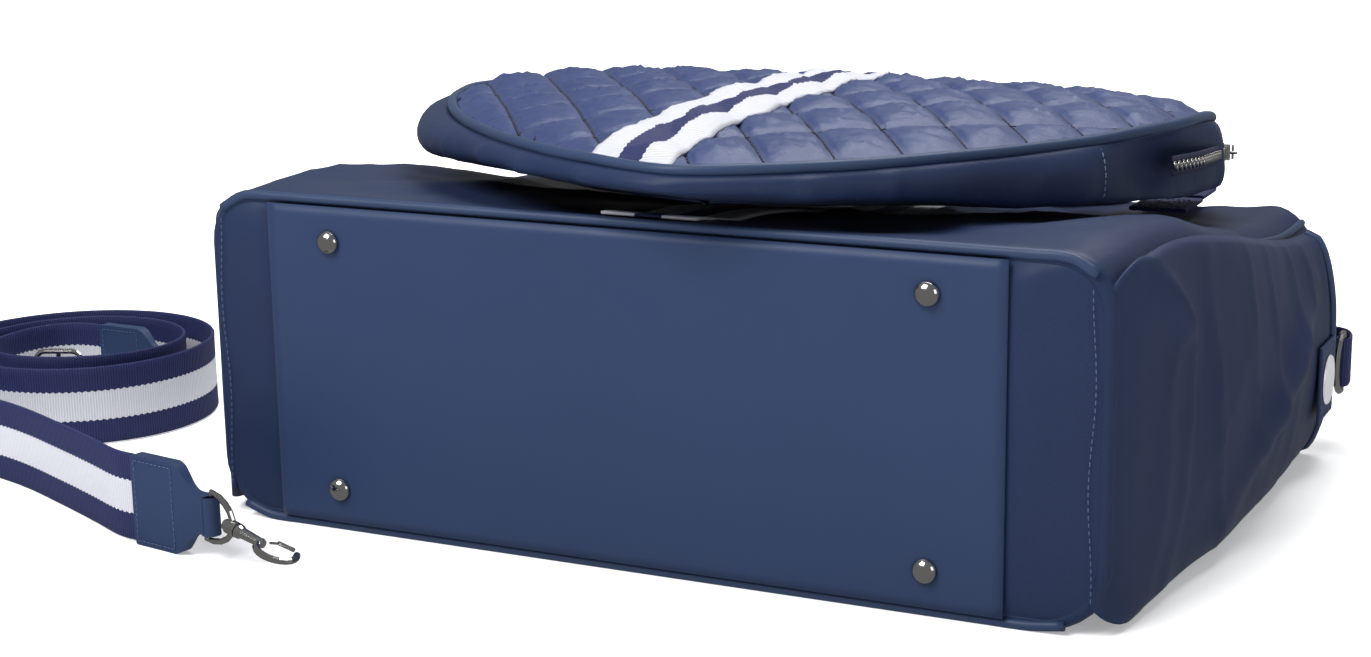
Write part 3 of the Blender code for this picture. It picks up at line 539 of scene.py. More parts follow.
def body_ring(up, inset):
    """One closed ring round the bag, from the front's left corner over the front and clockwise."""
    w, h = half_width(up) - inset, depth(up) - inset
    radius = 0.024 - inset * 0.6
    left = radius * 1.15
    under = radius * (1.25 - 0.45 * smooth(up / 0.12))
    corners = (
        (Vector((-w + left, h - left)), math.pi, left),
        (Vector((w - radius, h - radius)), math.pi / 2, radius),
        (Vector((w - under, inset + under)), 0.0, under),
        (Vector((-w + under, inset + under)), -math.pi / 2, under),
    )
    points = []
    for i, (centre, start, r) in enumerate(corners):
        turns = [start - math.pi / 2 * k / 8 for k in range(9)]
        points += [centre + Vector((math.cos(t), math.sin(t))) * r for t in turns]
        after, turn, r = corners[(i + 1) % 4]
        begin, goal = points[-1], after + Vector((math.cos(turn), math.sin(turn))) * r
        count = 30 if i % 2 else 64
        points += [begin.lerp(goal, k / count) for k in range(1, count)]
    return [at(p.x, up, p.y) for p in points]


def body_wrinkle(p, out):
    """How far the body's cloth moves outwards at p."""
    up = p.y - BASE_Y
    calm = ease(up, 0.004, 0.05)
    if out.z < -0.6:
        return 0.0
    move = 0.0036 * folds(p, 0.055, 1, (1.0, 1.8, 1.0)) * calm
    move += 0.0034 * creases(p, 0.085, 2, (1.2, 2.2, 1.0)) * calm
    move += 0.0012 * folds(p, 0.022, 3, (1.0, 2.0, 1.0)) * calm
    if out.z > 0.6:
        move -= sunken(p.x, up)
    return move


def make_body():
    """The nylon front, back and sides as one cloth."""
    rows = []
    for up in (0.0, 0.0012, 0.0035, 0.007, *steps(0.012, HEIGHT - 0.004, 70), HEIGHT - 0.0015, HEIGHT):
        round_near = 0.0055 * (1 - math.sqrt(max(0.0, 1 - (1 - min(up / 0.0055, 1)) ** 2)))
        far = max(0.0, (up - (HEIGHT - 0.004)) / 0.004)
        ring = body_ring(up, round_near + 0.0035 * far * far)
        middle = sum(ring, Vector()) / len(ring)
        row = []
        for i, p in enumerate(ring):
            out = (ring[(i + 1) % len(ring)] - ring[i - 1]).cross(Vector((0, 1, 0))).normalized()
            if out.dot(p - middle) < 0:
                out = -out
            moved = p + out * body_wrinkle(p, out) * (1 - far)
            moved.z = max(moved.z, 0.0002)
            row.append(moved)
        rows.append(row)
    nodes = ("front_panel", "back_panel", "left_side_panel", "right_side_panel")
    piece("body_cloth", fix_normals(grid(rows, closed=True)), NYLON, "bag", nodes, thick=0.0022)


def base_puff(p, share):
    """How far the nylon of the base stands out of its plane; it puffs up beside the coated panel."""
    calm = 1 - share**8
    beside = ease(abs(p.x + 0.0035), 0.190, 0.200) * (1 - ease(abs(p.x), 0.222, 0.236))
    soft = 0.0014 * folds(p, 0.040, 5, (1, 1, 1.5)) + 0.0022 * creases(p, 0.060, 6, (1, 1, 1.2))
    return calm * (0.0010 + 0.0034 * beside + soft * beside)


def make_base():
    """The soft nylon end face, the coated panel over it, and their stitches."""
    ring, middle = body_ring(0.0, 0.0055), at(0, 0, BASE_DEPTH / 2)
    rows = []
    for share in (1.0, 0.99, 0.975, 0.955, 0.93, 0.905, 0.88, 0.85, 0.82, 0.76, 0.66, 0.5, 0.3, 0.1):
        places = [middle.lerp(p, share) for p in ring]
        rows.append([q - Vector((0, base_puff(q, share), 0)) for q in places])
    bm = fix_normals(grid(rows, closed=True, caps=(-1,)))
    obj = piece("base_cloth", bm, NYLON, "bag", ("base_fabric",))
    soft = obj.modifiers.new("smooth", "SUBSURF")
    soft.levels = soft.render_levels = 1

    low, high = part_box("base_panel")
    across, deep = 72, 32

    def panel_point(j, i):
        p = Vector((low.x + (high.x - low.x) * i / across, 0, 0.0045 + (BASE_DEPTH - 0.0090) * j / deep))
        edge = min(i, across - i, j, deep - j)
        wave = 0.0011 * folds(p, 0.11, 8) + 0.0003 * folds(p, 0.03, 9)
        p.y = low.y - 0.0008 + wave * smooth(edge / 4) + (0.0 if edge else 0.0006)
        return p

    bm = sheet(range(deep + 1), range(across + 1), panel_point)
    piece("base_coated_panel", bm, COATED, "bag", ("base_panel",), thick=0.0012, side=1.0)
    bm = bmesh.new()
    for x in (low.x + 0.0032, high.x - 0.0032):
        add_stitches(bm, [Vector((x, low.y - 0.0010, z)) for z in steps(0.010, BASE_DEPTH - 0.010, 10)])
    piece("base_panel_stitches", bm, THREAD, "bag")
    bm = bmesh.new()
    for side in (-1, 1):
        line = []
        for z in steps(0.016, BASE_DEPTH - 0.014, 14):
            line.append(Vector((side * (BASE_HALF - 0.0085 + 0.0012 * math.sin(z * 70)), BASE_Y - 0.0016, z)))
        add_stitches(bm, line, 0.0034, 0.0022, 0.00030)
    piece("side_seam_stitches", bm, THREAD, "bag")


def make_lining():
    """The lining, as a bag within the bag, open at its top."""
    rows = [body_ring(up, 0.0150) for up in (0.010, 0.060, 0.120, 0.180, 0.240, 0.300, 0.350)]
    middle = at(0, 0.010, BASE_DEPTH / 2)
    ends = [[middle.lerp(p, share) for p in rows[0]] for share in (0.05, 0.35, 0.7, 0.95)]
    bm = fix_normals(grid(ends + rows, closed=True))
    piece("lining_cloth", bm, LINING, "bag", ("lining",), thick=0.0008, side=1.0)


def make_base_piping():
    """Coated piping along the front and the back edge of the base."""
    ring = sorted(body_ring(0.0016, 0.0018), key=lambda p: p.x)
    front = [p for p in ring if p.z > BASE_DEPTH - 0.011]
    back = [p for p in ring if p.z < 0.009]
    for word, line in (("front", front), ("back", back)):
        path = evenly(spline([p - Vector((0, 0.0010, 0)) for p in line[::3]], 0.004), 0.004)
        node = f"base_piping_{word}"
        piece(f"{node}_edge", tube(path, 0.0024), PIPING, "bag", (node,))


def make_feet():
    """Polished domes on thin rings."""
    for word in ("left_front", "left_back", "right_front", "right_back"):
        node = f"foot_{word}"
        low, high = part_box(node)
        x, z, radius = (low.x + high.x) / 2, (low.z + high.z) / 2, (high.x - low.x) / 2
        profile = [(0.0, 0.0), (0.99, 0.0), (1.0, 0.0006), (0.97, 0.0013), (0.80, 0.0014), (0.80, 0.0020)]
        for turn in steps(0.0, math.pi / 2, 8):
            profile.append((0.93 * math.cos(turn), 0.0022 + (high.y - low.y - 0.0022) * math.sin(turn)))
        rows = []
        for share, out in profile:
            rows.append(circle(Vector((x, high.y - out, z)), Vector((1, 0, 0)), UP, 32, radius * share))
        bm = grid(rows, closed=True)
        bmesh.ops.remove_doubles(bm, verts=bm.verts, dist=1e-6)
        piece(f"dome_{word}", fix_normals(bm), METAL, "bag", (node,))


# ---------------------------------------------------------------- side pockets


def pocket_out(up, across):
    swell = max(math.sin(math.pi * across), 0.0) ** 0.4
    return 0.0032 + 0.0175 * (0.45 * smooth(up / 0.06) + 0.55 * smooth(up / POCKET_HEIGHT)) * swell


def pocket_point(side, up, across, extra=0.0):
    """A point of a side pocket's cloth; across runs from its back seam to its front seam."""
    # The end by the base grows out of the side seam with a rounded edge.
    grown = math.sqrt(1 - (1 - min(up / 0.024, 1.0)) ** 2)
    low = 0.0140 - 0.0115 * grown
    high = depth(up) - 0.0250 + (0.0175 + 0.0035 * side) * grown
    out = (pocket_out(up, across) + 0.0080) * grown - 0.0080 + extra
    p = at(side * (half_width(up) + out), up, low + (high - low) * across)
    flat = 1 - math.exp(-(((up - 0.303) / 0.045) ** 2) - ((p.z - 0.049) / 0.045) ** 2)
    calm = ease(up, 0.004, 0.05) * max(math.sin(math.pi * across), 0.0) ** 0.5 * flat
    move = 0.0040 * folds(p, 0.060, 11 + side, (1, 1.2, 2.4))
    move += 0.0016 * creases(p, 0.110, 14 + side, (1, 0.9, 2.2))
    move += 0.0016 * folds(p, 0.025, 17 + side, (1, 1, 1.8))
    move += 0.0022 * creases(p, 0.050, 18 + side, (1, 0.8, 2.4))
    # Long folds: down from the badge to the floor, pinched at the front corner by the base, along the floor.
    for start, end, wide, height in (
        ((0.285, 0.80), (0.130, 0.12), 0.011, 0.0075),
        ((0.030, 0.97), (0.075, 0.72), 0.007, 0.0085),
        ((0.080, 0.10), (0.190, 0.02), 0.010, 0.0040),
    ):
        a, b, q = Vector(start), Vector(end), Vector((up, across))
        a.y, b.y, q.y = a.y * 0.15, b.y * 0.15, q.y * 0.15
        share = min(max((q - a).dot(b - a) / (b - a).length_squared, 0.0), 1.0)
        off = (q - a.lerp(b, share)).length / wide
        ends = math.sin(math.pi * (0.08 + 0.84 * share)) * ease(up, 0.004, 0.03)
        move += height * math.exp(-off * off) * ends
    return p + Vector((side * move * (0.25 + 0.75 * calm) * flat * ease(up, 0.002, 0.03), 0, 0))


def make_pocket(side, word):
    """A bottle pocket and the coated binding of its mouth."""
    ups = [0.0005 * i * i for i in range(7)] + steps(0.021, POCKET_HEIGHT, 80)
    shares = steps(0.0, 1.0, 40)
    bm = sheet(ups, shares, lambda up, share: pocket_point(side, up, share))
    piece(f"{word}_pocket_cloth", bm, NYLON, "bag", (f"{word}_side_pocket",), thick=0.0014)
    line = [pocket_point(side, POCKET_HEIGHT, s, 0.0006) + Vector((0, 0.0010, 0)) for s in shares]
    rows = []
    for i, p in enumerate(line):
        along, out = heading(line, i), Vector((side, 0, 0))
        out = (out - along * out.dot(along)).normalized()
        up = along.cross(out).normalized()
        rows.append(circle(p, out * 0.0016, up * math.copysign(0.0046, up.y), 14))
    bm = fix_normals(grid(rows, closed=True))
    piece(f"{word}_pocket_edge", bm, PIPING, "bag", (f"{word}_pocket_binding",))


def make_badge():
    """The stitched leather patch under the plain disc."""
    low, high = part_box("badge_patch")
    ys, zs = steps(low.y, high.y, 12), steps(low.z, high.z, 12)
    bm = sheet(zs, ys, lambda z, y: Vector((low.x + 0.0018, y, z)))
    obj = piece("badge_leather", bm, COATED, "bag", ("badge_patch",), thick=0.0018)
    bevel = obj.modifiers.new("edge", "BEVEL")
    bevel.width, bevel.segments, bevel.limit_method = 0.0005, 2, "ANGLE"
    bm, inset = bmesh.new(), 0.0022
    ys, zs = (low.y + inset, high.y - inset), (low.z + inset, high.z - inset)
    corners = [Vector((low.x + 0.0020, ys[a], zs[b])) for a, b in ((0, 0), (1, 0), (1, 1), (0, 1))]
    for a, b in zip(corners, corners[1:] + corners[:1]):
        add_stitches(bm, [a, b], 0.0030, 0.0021, 0.00026)
    piece("badge_stitches", bm, THREAD, "bag")


# ---------------------------------------------------------------- flap pocket


def flap_top(up):
    """How high the flap's edge lies."""
    return 0.1985 - 0.0075 * up - 0.9 * max(0.0, up - 0.2) ** 2


def flap_bottom(up):
    return 0.1770 - 0.09 * up


def flap_outline(grow, step):
    """Points (x, up) round the flap's open edge, from its right hinged corner to its left one."""
    start = math.asin(((FLAP_END - FLAP_WIDEST) / FLAP_REACH) ** (FLAP_FAR_POWER / 2))
    points = []
    for i in range(361):
        angle = start - (math.pi + 2 * start) * i / 360
        c, s = math.cos(angle), math.sin(angle)
        power = 2 / (FLAP_FAR_POWER if s > 0 else FLAP_NEAR_POWER)
        x = math.copysign(abs(c) ** power, c) * (FLAP_HALF + grow)
        y = math.copysign(abs(s) ** power, s) * (FLAP_REACH + grow)
        lean = FLAP_SKEW * max(0.0, -y / FLAP_REACH) ** 2
        points.append(Vector((FLAP_X + x + lean, FLAP_WIDEST + y, 0)))
    return evenly(points, step)


def flap_share(x, up, edge):
    """0 at the flap's middle and 1 on its edge."""
    offset = Vector((x, up, 0)) - FLAP_MIDDLE.to_3d()
    angle = math.atan2(offset.y, offset.x)
    slot = int((angle + math.pi) / math.tau * len(edge)) % len(edge)
    return offset.length / edge[slot]


def edge_radii(count=1440):
    """Distance from the flap's middle to its edge for each direction."""
    ring = flap_outline(-0.0012, 0.0015)
    far = [Vector((ring[-1].x + (ring[0].x - ring[-1].x) * i / 200, FLAP_END - 0.004, 0)) for i in range(201)]
    radii = [0.0] * count
    for p in ring + far:
        offset = Vector((p.x, min(p.y, FLAP_END - 0.004), 0)) - FLAP_MIDDLE.to_3d()
        slot = int((math.atan2(offset.y, offset.x) + math.pi) / math.tau * count) % count
        radii[slot] = max(radii[slot], offset.length)
    known = [i for i, r in enumerate(radii) if r]
    for i in range(count):
        if not radii[i]:
            near = min(known, key=lambda k: min(abs(k - i), count - abs(k - i)))
            radii[i] = radii[near]
    return radii


def quilt_height(x, up, share):
    """The quilted top's height: crown, puffed diamonds and small pulls at the seams."""
    area = QUILT_LONG.cross(QUILT_SHORT)
    offset = Vector((x, up)) - QUILT_START
    m, n = offset.cross(QUILT_SHORT) / area, -offset.cross(QUILT_LONG) / area
    puff = (abs(math.sin(math.pi * m)) * abs(math.sin(math.pi * n))) ** 0.38
    p = Vector((x, up, 0))
    ridge = creases(p, 0.016, 21, (2.6, 0.6, 1))
    fine = creases(p, 0.009, 24, (0.6, 2.0, 1))
    crown = FLAP_CROWN * (1 - share**3)
    edge = 1 - ease(share, 0.93, 1.0)
    wander = 0.0016 * folds(p, 0.09, 22) * edge
    puffed = (0.0038 + 0.0011 * folds(p, 0.05, 23)) * puff * (0.4 + 0.6 * edge)
    return flap_top(up) + 0.0005 + crown + puffed + (0.0018 * ridge + 0.0009 * fine) * puff * edge + wander


def make_quilt(edge):
    fine = 14
    bm = bmesh.new()
    made, inside = {}, set()
    reach = fine * 16
    limit = 1.0 + 0.0045 / 0.16
    # The grid follows the seams, so every crease lies on mesh edges.
    for i in range(-reach, reach + 1):
        for j in range(-reach, reach + 1):
            place = QUILT_START + QUILT_LONG * (i / fine) + QUILT_SHORT * (j / fine)
            share = flap_share(place.x, place.y, edge)
            if share > limit:
                continue
            if share > 1.0:
                place = FLAP_MIDDLE + (place - FLAP_MIDDLE) / share
                share = 1.0
            else:
                inside.add((i, j))
            made[i, j] = bm.verts.new(at(place.x, place.y, quilt_height(place.x, place.y, share)))
    for i, j in list(made):
        keys = ((i, j), (i + 1, j), (i + 1, j + 1), (i, j + 1))
        if all(key in made for key in keys) and any(key in inside for key in keys):
            bm.faces.new([made[key] for key in keys])
    bmesh.ops.dissolve_degenerate(bm, edges=bm.edges, dist=1e-6)
    bmesh.ops.delete(bm, geom=[v for v in bm.verts if not v.link_faces], context="VERTS")
    bmesh.ops.recalc_face_normals(bm, faces=bm.faces)
    obj = piece("flap_quilt", bm, QUILT, "flap", ("flap_quilted_panel",), thick=0.0030)
    bm = bmesh.new()
    for along, across in ((QUILT_LONG, QUILT_SHORT), (QUILT_SHORT, QUILT_LONG)):
        for k in range(-16, 17):
            run = []
            for i in range(-160, 161):
                place = QUILT_START + across * k + along * (i / 10)
                share = flap_share(place.x, place.y, edge)
                if share < 0.985:
                    run.append(at(place.x, place.y, quilt_height(place.x, place.y, share) + 0.0004))
                elif len(run) > 2:
                    break
                else:
                    run = []
            if len(run) > 2:
                add_stitches(bm, run, 0.0044, 0.0031, 0.00050)
    piece("quilt_stitches", bm, DARK_THREAD, "flap")


def make_stripe(name, body, node, counts, up_at, height):
    """Striped webbing on a surface. up_at gives how far up it runs, and height how high it lies."""
    rows, lay = [], []
    for i in range(counts[0] + 1):
        row, marks = [], []
        for j in range(-counts[1], counts[1] + 1):
            x = STRIPE_X + STRIPE_HALF * j / counts[1]
            up = up_at(x, i / counts[0])
            row.append(at(x, up, height(x, up, abs(j) / counts[1])))
            marks.append((up, x - STRIPE_X))
        rows.append(row)
        lay.append(marks)
    piece(name, grid(rows, lay=lay), STRIPED, body, (node,), thick=0.0014)


def make_flap_stripe(edge):
    """Webbing sewn over the quilt; it bridges the hollows and dips a little at the seams."""
    ring = [p for p in flap_outline(-0.0010, 0.001) if p.y < 0.1]

    def near(x):
        return min(ring, key=lambda p: abs(p.x - x)).y

    def height(x, up, out):
        share = min(flap_share(x, up, edge), 1.0)
        high = max(quilt_height(x, up + d, share) for d in (-0.006, -0.003, 0.0, 0.003, 0.006))
        lift = (0.0012 - 0.0008 * out**4) * smooth((up - near(x)) / 0.010)
        return 0.35 * quilt_height(x, up, share) + 0.65 * high + lift

    def ups(x, share):
        return near(x) + (0.346 - near(x)) * share

    make_stripe("flap_webbing", "flap", "flap_stripe", (150, 8), ups, height)


def gusset_point(p, out, drop):
    """A point of the gusset below the flap's edge point p; drop runs 0 at the piping to 1 underneath."""
    side = 0.55 - 0.42 * (p.x - FLAP_X) / FLAP_HALF
    near = 0.25 + 0.75 * smooth(p.y / 0.15)
    swell = 0.0040 + 0.0180 * side * near
    # Near the middle the cloth curls under soon below the piping; at the right it hangs to the bottom.
    right = ease(p.x, 0.060, 0.190)
    left = ease(-p.x, 0.060, 0.170)
    hang = 0.40 + 0.56 * right + 0.30 * left
    wall = min(drop / 0.55, 1.0)
    under = max(0.0, (drop - 0.45) / 0.55)
    tuck = (0.040 - 0.014 * right - 0.010 * left) * under**1.2
    # The right side is pinched in beside the zip's end.
    pinch = 0.012 * ease(p.x, 0.172, 0.200) * math.sin(math.pi * wall)
    pinch *= math.exp(-(((p.y - 0.19) / 0.045) ** 2))
    high, low = flap_top(p.y) - 0.0025, flap_bottom(p.y) + 0.0004
    fall = hang * (0.5 - 0.5 * math.cos(math.pi * wall)) + (1 - hang) * under
    place = p + out * (swell * math.sin(math.pi * min(wall * 0.94, 1.0)) ** 0.8 - tuck - pinch)
    q = at(place.x, place.y, high + (low - high) * fall)
    soft = math.sin(math.pi * min(drop, 1.0)) ** 0.7
    turn = 0.0022 * folds(q, 0.045, 31, (1, 1, 2.2)) + 0.0030 * creases(q, 0.055, 32, (1, 1, 3.0))
    turn += 0.0008 * folds(q, 0.018, 33, (1, 1, 2.0))
    shift = out * (turn * soft)
    return q + Vector((shift.x, shift.y, (0.0014 + 0.0020 * under) * folds(q, 0.05, 34) * soft))


def outline_with_normals(step):
    """The flap's outline with the outward direction at each point."""
    line = flap_outline(0.0012, step)
    out = []
    for i, p in enumerate(line):
        along = heading(line, i)
        away = Vector((-along.y, along.x, 0))
        out.append((p, -away if away.dot(p - FLAP_MIDDLE.to_3d()) < 0 else away))
    return out


def make_gusset():
    """The flap's gusset, its underside, and the nylon wall that closes it at its hinged end."""
    line = outline_with_normals(0.0035)
    bm = sheet(steps(0.0, 1.0, 26), line, lambda drop, place: gusset_point(*place, drop))
    piece("flap_gusset_cloth", bm, NYLON, "flap", ("flap_gusset",), thick=0.0016, side=0.0)

    def under_point(share, p, out):
        right, left = ease(p.x, 0.060, 0.190), ease(-p.x, 0.060, 0.170)
        q = p - out * (0.0385 - 0.014 * right - 0.010 * left)
        x, up = FLAP_MIDDLE.lerp(Vector((q.x, q.y)), share)
        sag = -0.0012 * (1 - share**2) + 0.0012 * folds(Vector((x, up, 0)), 0.06, 36)
        return at(x, min(up, FLAP_END - 0.003), flap_bottom(up) + 0.0012 + sag)

    places = outline_with_normals(0.008)
    under = [[under_point(share, *place) for place in places] for share in (1.0, 0.9, 0.75, 0.55, 0.3, 0.08)]
    bm = fix_normals(grid(under, closed=True))
    piece("flap_underside", bm, NYLON, "flap", ("flap_back_panel",), thick=0.0012, side=1.0)
    right, left, up = line[0][0].x - 0.004, line[-1][0].x + 0.004, FLAP_END - 0.0055

    def end_point(x, share):
        top, bottom = quilt_height(x, up, 1.0) - 0.0012, flap_bottom(up) + 0.0014
        soft = 0.0012 * folds(Vector((x, 0, 0)), 0.03, 37)
        return at(x, up + soft * math.sin(math.pi * share), top + (bottom - top) * share)

    bm = sheet(steps(left, right, 60), steps(0.0, 1.0, 8), end_point)
    piece("flap_end_cloth", bm, NYLON, "flap", thick=0.0012, side=0.0)


def make_flap_piping():
    line = []
    for p, out in outline_with_normals(0.004):
        wobble = 0.0008 * folds(Vector((p.x, p.y, 0)), 0.05, 41)
        q = p + out * 0.0004
        line.append(at(q.x, q.y, flap_top(p.y) + 0.0002 + wobble))
    piece("flap_piping_cord", tube(line, 0.0027), PIPING, "flap", ("flap_piping",))


# ---------------------------------------------------------------- strap

STRAP_LEAD = (
    (-0.242, -0.0585), (-0.258, -0.0550), (-0.285, -0.0420), (-0.320, -0.0260),
    (-0.363, -0.0080), (-0.425, 0.0110), (-0.484, 0.0380), (-0.514, 0.0800),
)
COIL_CENTRE = (-0.433, 0.127)
COIL_RADIUS, COIL_PITCH, COIL_TURNS = 0.080, 0.017, 1.75
STRAP_TAIL = ((-0.0485, 0.0160), (-0.0420, 0.0290), (-0.0310, 0.0360), (-0.0220, 0.0372), (-0.0140, 0.0372))
ADJUSTER_AT = 0.865
# Half of a leather tab's outline, as along and across, from its webbing end to its eye.
TAB_OUTLINE = (
    (0.0002, 0.0), (0.0002, 0.0232), (0.0290, 0.0232), (0.0325, 0.0216), (0.0358, 0.0180),
    (0.0390, 0.0140), (0.0425, 0.0112), (0.0470, 0.0102), (0.0512, 0.0098),
)
TAB_EYE = 0.0515


def strap_line(step):
    x, up = COIL_CENTRE
    points = [at(a, b, 0.0) for a, b in STRAP_LEAD]
    for i in range(33):
        turns = -0.25 + (COIL_TURNS + 0.25) * i / 32
        angle = math.pi / 2 - math.tau * turns
        radius = COIL_RADIUS - COIL_PITCH * turns
        points.append(at(x + radius * math.cos(angle), up + radius * math.sin(angle), 0.0))
    points += [at(x + a, up + b, 0.0) for a, b in STRAP_TAIL]
    return spline(points, step)


def strap_lift(share):
    return 0.0004 + 0.0030 * math.exp(-(((share - ADJUSTER_AT) / 0.06) ** 2))


def ribbon(middle, across, width, thickness, edge, dents, soft=0.0):
    """Closed webbing round a middle line. across gives the direction over it from the one along it."""
    half = thickness / 2
    profile = [(-half * 0.5, -width / 2), (-half, edge - width / 2)]
    profile += [(-half * dents[k % 2], (width / 2 - edge) * (k / 5 - 1)) for k in range(1, 10)]
    profile += [(-half, width / 2 - edge), (-half * 0.5, width / 2)]
    profile += [(-d, h) for d, h in reversed(profile)]
    rows, lay, run = [], [], 0.0
    for i, p in enumerate(middle):
        along = heading(middle, i)
        side = across(along).normalized()
        face = side.cross(along).normalized()
        run += (p - middle[i - 1]).length if i else 0.0
        wave = soft * folds(p, 0.03, 61)
        rows.append([p + face * (d + wave) + side * h for d, h in profile])
        lay.append([(run, h) for d, h in profile])
    return fix_normals(grid(rows, closed=True, lay=lay, caps=(0, -1)))


def make_strap():
    """The shoulder strap and its two leather tabs."""
    line = strap_line(0.004)
    middle = [p + UP * (strap_lift(i / (len(line) - 1)) + STRAP_WIDTH / 2) for i, p in enumerate(line)]
    bm = ribbon(middle, lambda along: UP, STRAP_WIDTH, STRAP_THICKNESS, 0.0008, (0.80, 0.86))
    obj = piece("strap_band", bm, STRAP, "strap", ("strap_webbing",), angle=50)
    ends = (("near", middle[0], middle[0] - middle[1]), ("far", middle[-1], middle[-1] - middle[-2]))
    shown = [n for n in frame["record"]["physics"]["cord_nodes"] if n != "strap_webbing" and "_tab_" not in n]
    on_it = [frame["nodes"][n] for n in shown]
    for which, start, along in ends:
        on_it += make_tab(which, start, along.normalized())


def make_tab(which, start, along):
    """Two layers of coated leather stitched over the webbing's end and folded round the ring."""
    place = Matrix((along, Vector((-along.y, along.x, 0)), UP)).transposed()

    def put(a, off, h):
        return start + place @ Vector((a, off, h))

    bm, faces, shares = bmesh.new(), [], [j / 7 for j in range(-7, 8)]
    half = evenly([Vector((*p, 0)) for p in TAB_OUTLINE], 0.0016)[1:]
    for face in (-1, 1):
        rows = []
        for p in half:
            off = 0.0034 - 0.0016 * ease(p.x, 0.030, 0.044) + 0.0030 * ease(p.x, 0.045, TAB_EYE)
            puff = 0.0006 * (1 - ease(p.x, 0.040, 0.050))
            rows.append([put(p.x, face * (off + puff * (1 - share**4)), p.y * share) for share in shares])
        faces.append(rows)
        grid(rows, bm=bm)
    inside, outside = faces
    for end in (0, -1):
        grid([[a[end], b[end]] for a, b in zip(outside, inside)], bm=bm)
    grid([outside[0], inside[0]], bm=bm)
    fold = []
    for turn in steps(math.pi / 2, -math.pi / 2, 8):
        a, off = TAB_EYE + 0.0048 * math.cos(turn), 0.0048 * math.sin(turn)
        fold.append([put(a, off, 0.0098 * share) for share in shares])
    grid(fold, bm=bm)
    bmesh.ops.remove_doubles(bm, verts=bm.verts, dist=0.0002)
    node = f"strap_tab_{which}"
    obj = piece(f"leather_tab_{which}", fix_normals(bm), COATED, "strap", (node,), angle=50)
    bm = bmesh.new()
    for off in (-0.0040, 0.0040):
        for low in (-0.0206, 0.0206):
            turns = ((0.0026, off, 0), (0.0026, off, low), (0.0290, off, low), (0.0290, off * 1.05, 0))
            path = [put(*turn) for turn in turns]
            for a, b in zip(path, path[1:]):
                add_stitches(bm, [a, b], 0.0030, 0.0022, 0.00030)
    return [obj, piece(f"tab_stitches_{which}", bm, THREAD, "strap")]


# ---------------------------------------------------------------- carried-over nodes


def paint_nodes():
    """Gives every CAD node its paint; the soft ones are replaced further down."""
    by_slot = {
        "nylon": NYLON, "quilted_nylon": QUILT, "coated_navy": COATED, "webbing": WEBBING,
        "stripe_webbing": STRIPED, "zip_tape": TAPE, "gunmetal": METAL, "lining": LINING, "board": BOARD,
    }
    for part in frame["record"]["subparts"]:
        node = part["node"]
        paints = frame["nodes"][node].data.materials
        paints.clear()
        paints.append(SILVER if node == "badge_disc" else by_slot[part["material_slot"]])


def make_side_seams():
    """Piping down the upper part of the front side seams, and thread down the gusset's end seam."""
    for side, word in ((-1, "left"), (1, "right")):
        line = []
        for up in steps(0.190, 0.362, 23):
            p = at(side * (half_width(up) - 0.0060), up, depth(up) - 0.0060)
            line.append(p + Vector((side, 0, 1)) * 0.0012 * folds(p, 0.06, 51))
        piece(f"{word}_seam_piping", tube(evenly(line, 0.004), 0.0021, 10), PIPING, "bag")
    edge = [place for place in outline_with_normals(0.0035) if place[0].x > 0.1]
    p, out = min(edge, key=lambda place: abs(place[0].y - 0.135))
    line = [gusset_point(p, out, drop) + out * 0.0009 for drop in steps(0.04, 0.54, 12)]
    bm = bmesh.new()
    add_stitches(bm, line, 0.0034, 0.0022, 0.00032)
    piece("gusset_stitches", bm, PALE_THREAD, "flap")


def make_zip_teeth():
    """The flap's zip tape and the metal teeth down its middle."""
    low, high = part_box("flap_zip_tape")
    right = [p for p in flap_outline(0.0012, 0.0022) if p.x > FLAP_X and low.y < BASE_Y + p.y < high.y]
    teeth, rows = bmesh.new(), []
    for i, (p, q) in enumerate(zip(right, right[1:])):
        along = (q - p).normalized()
        out = Vector((abs(along.y), -along.x * math.copysign(1, along.y), 0)).normalized()
        swell = 0.022 * (0.55 - 0.42 * (p.x - FLAP_X) / FLAP_HALF)
        middle = at(p.x, p.y, (flap_top(p.y) + flap_bottom(p.y)) / 2)
        tooth = middle + out * (swell + 0.0052) + UP * (0.0007 if i % 2 else -0.0007)
        box_mesh(teeth, tooth, (along, out, UP), (0.0013, 0.0016, 0.0036))
        rows.append([middle + out * (swell + 0.0040) + UP * h for h in steps(0.005, -0.005, 4)])
    piece("flap_zip_teeth", fix_normals(teeth), METAL, "flap")
    bm = fix_normals(grid(rows))
    piece("flap_zip_cloth", bm, TAPE, "flap", ("flap_zip_tape",), thick=0.0009, side=0.0)


def make_front_stripe():
    make_stripe(
        "front_webbing", "bag", "front_stripe", (60, 6),
        lambda x, share: 0.004 + 0.335 * share, lambda x, up, out: depth(up) - sunken(x, up) + 0.0024,
    )


# ---------------------------------------------------------------- webbing, zips and small cloth pieces


def band(name, line, across, width, thickness, body, node):
    """A piece of plain navy webbing."""
    bm = ribbon(line, across, width, thickness, 0.03 * width, (0.86, 0.94), 0.0005)
    piece(name, bm, WEBBING, body, (node,), angle=50)


def level(along):
    return along.cross(UP)


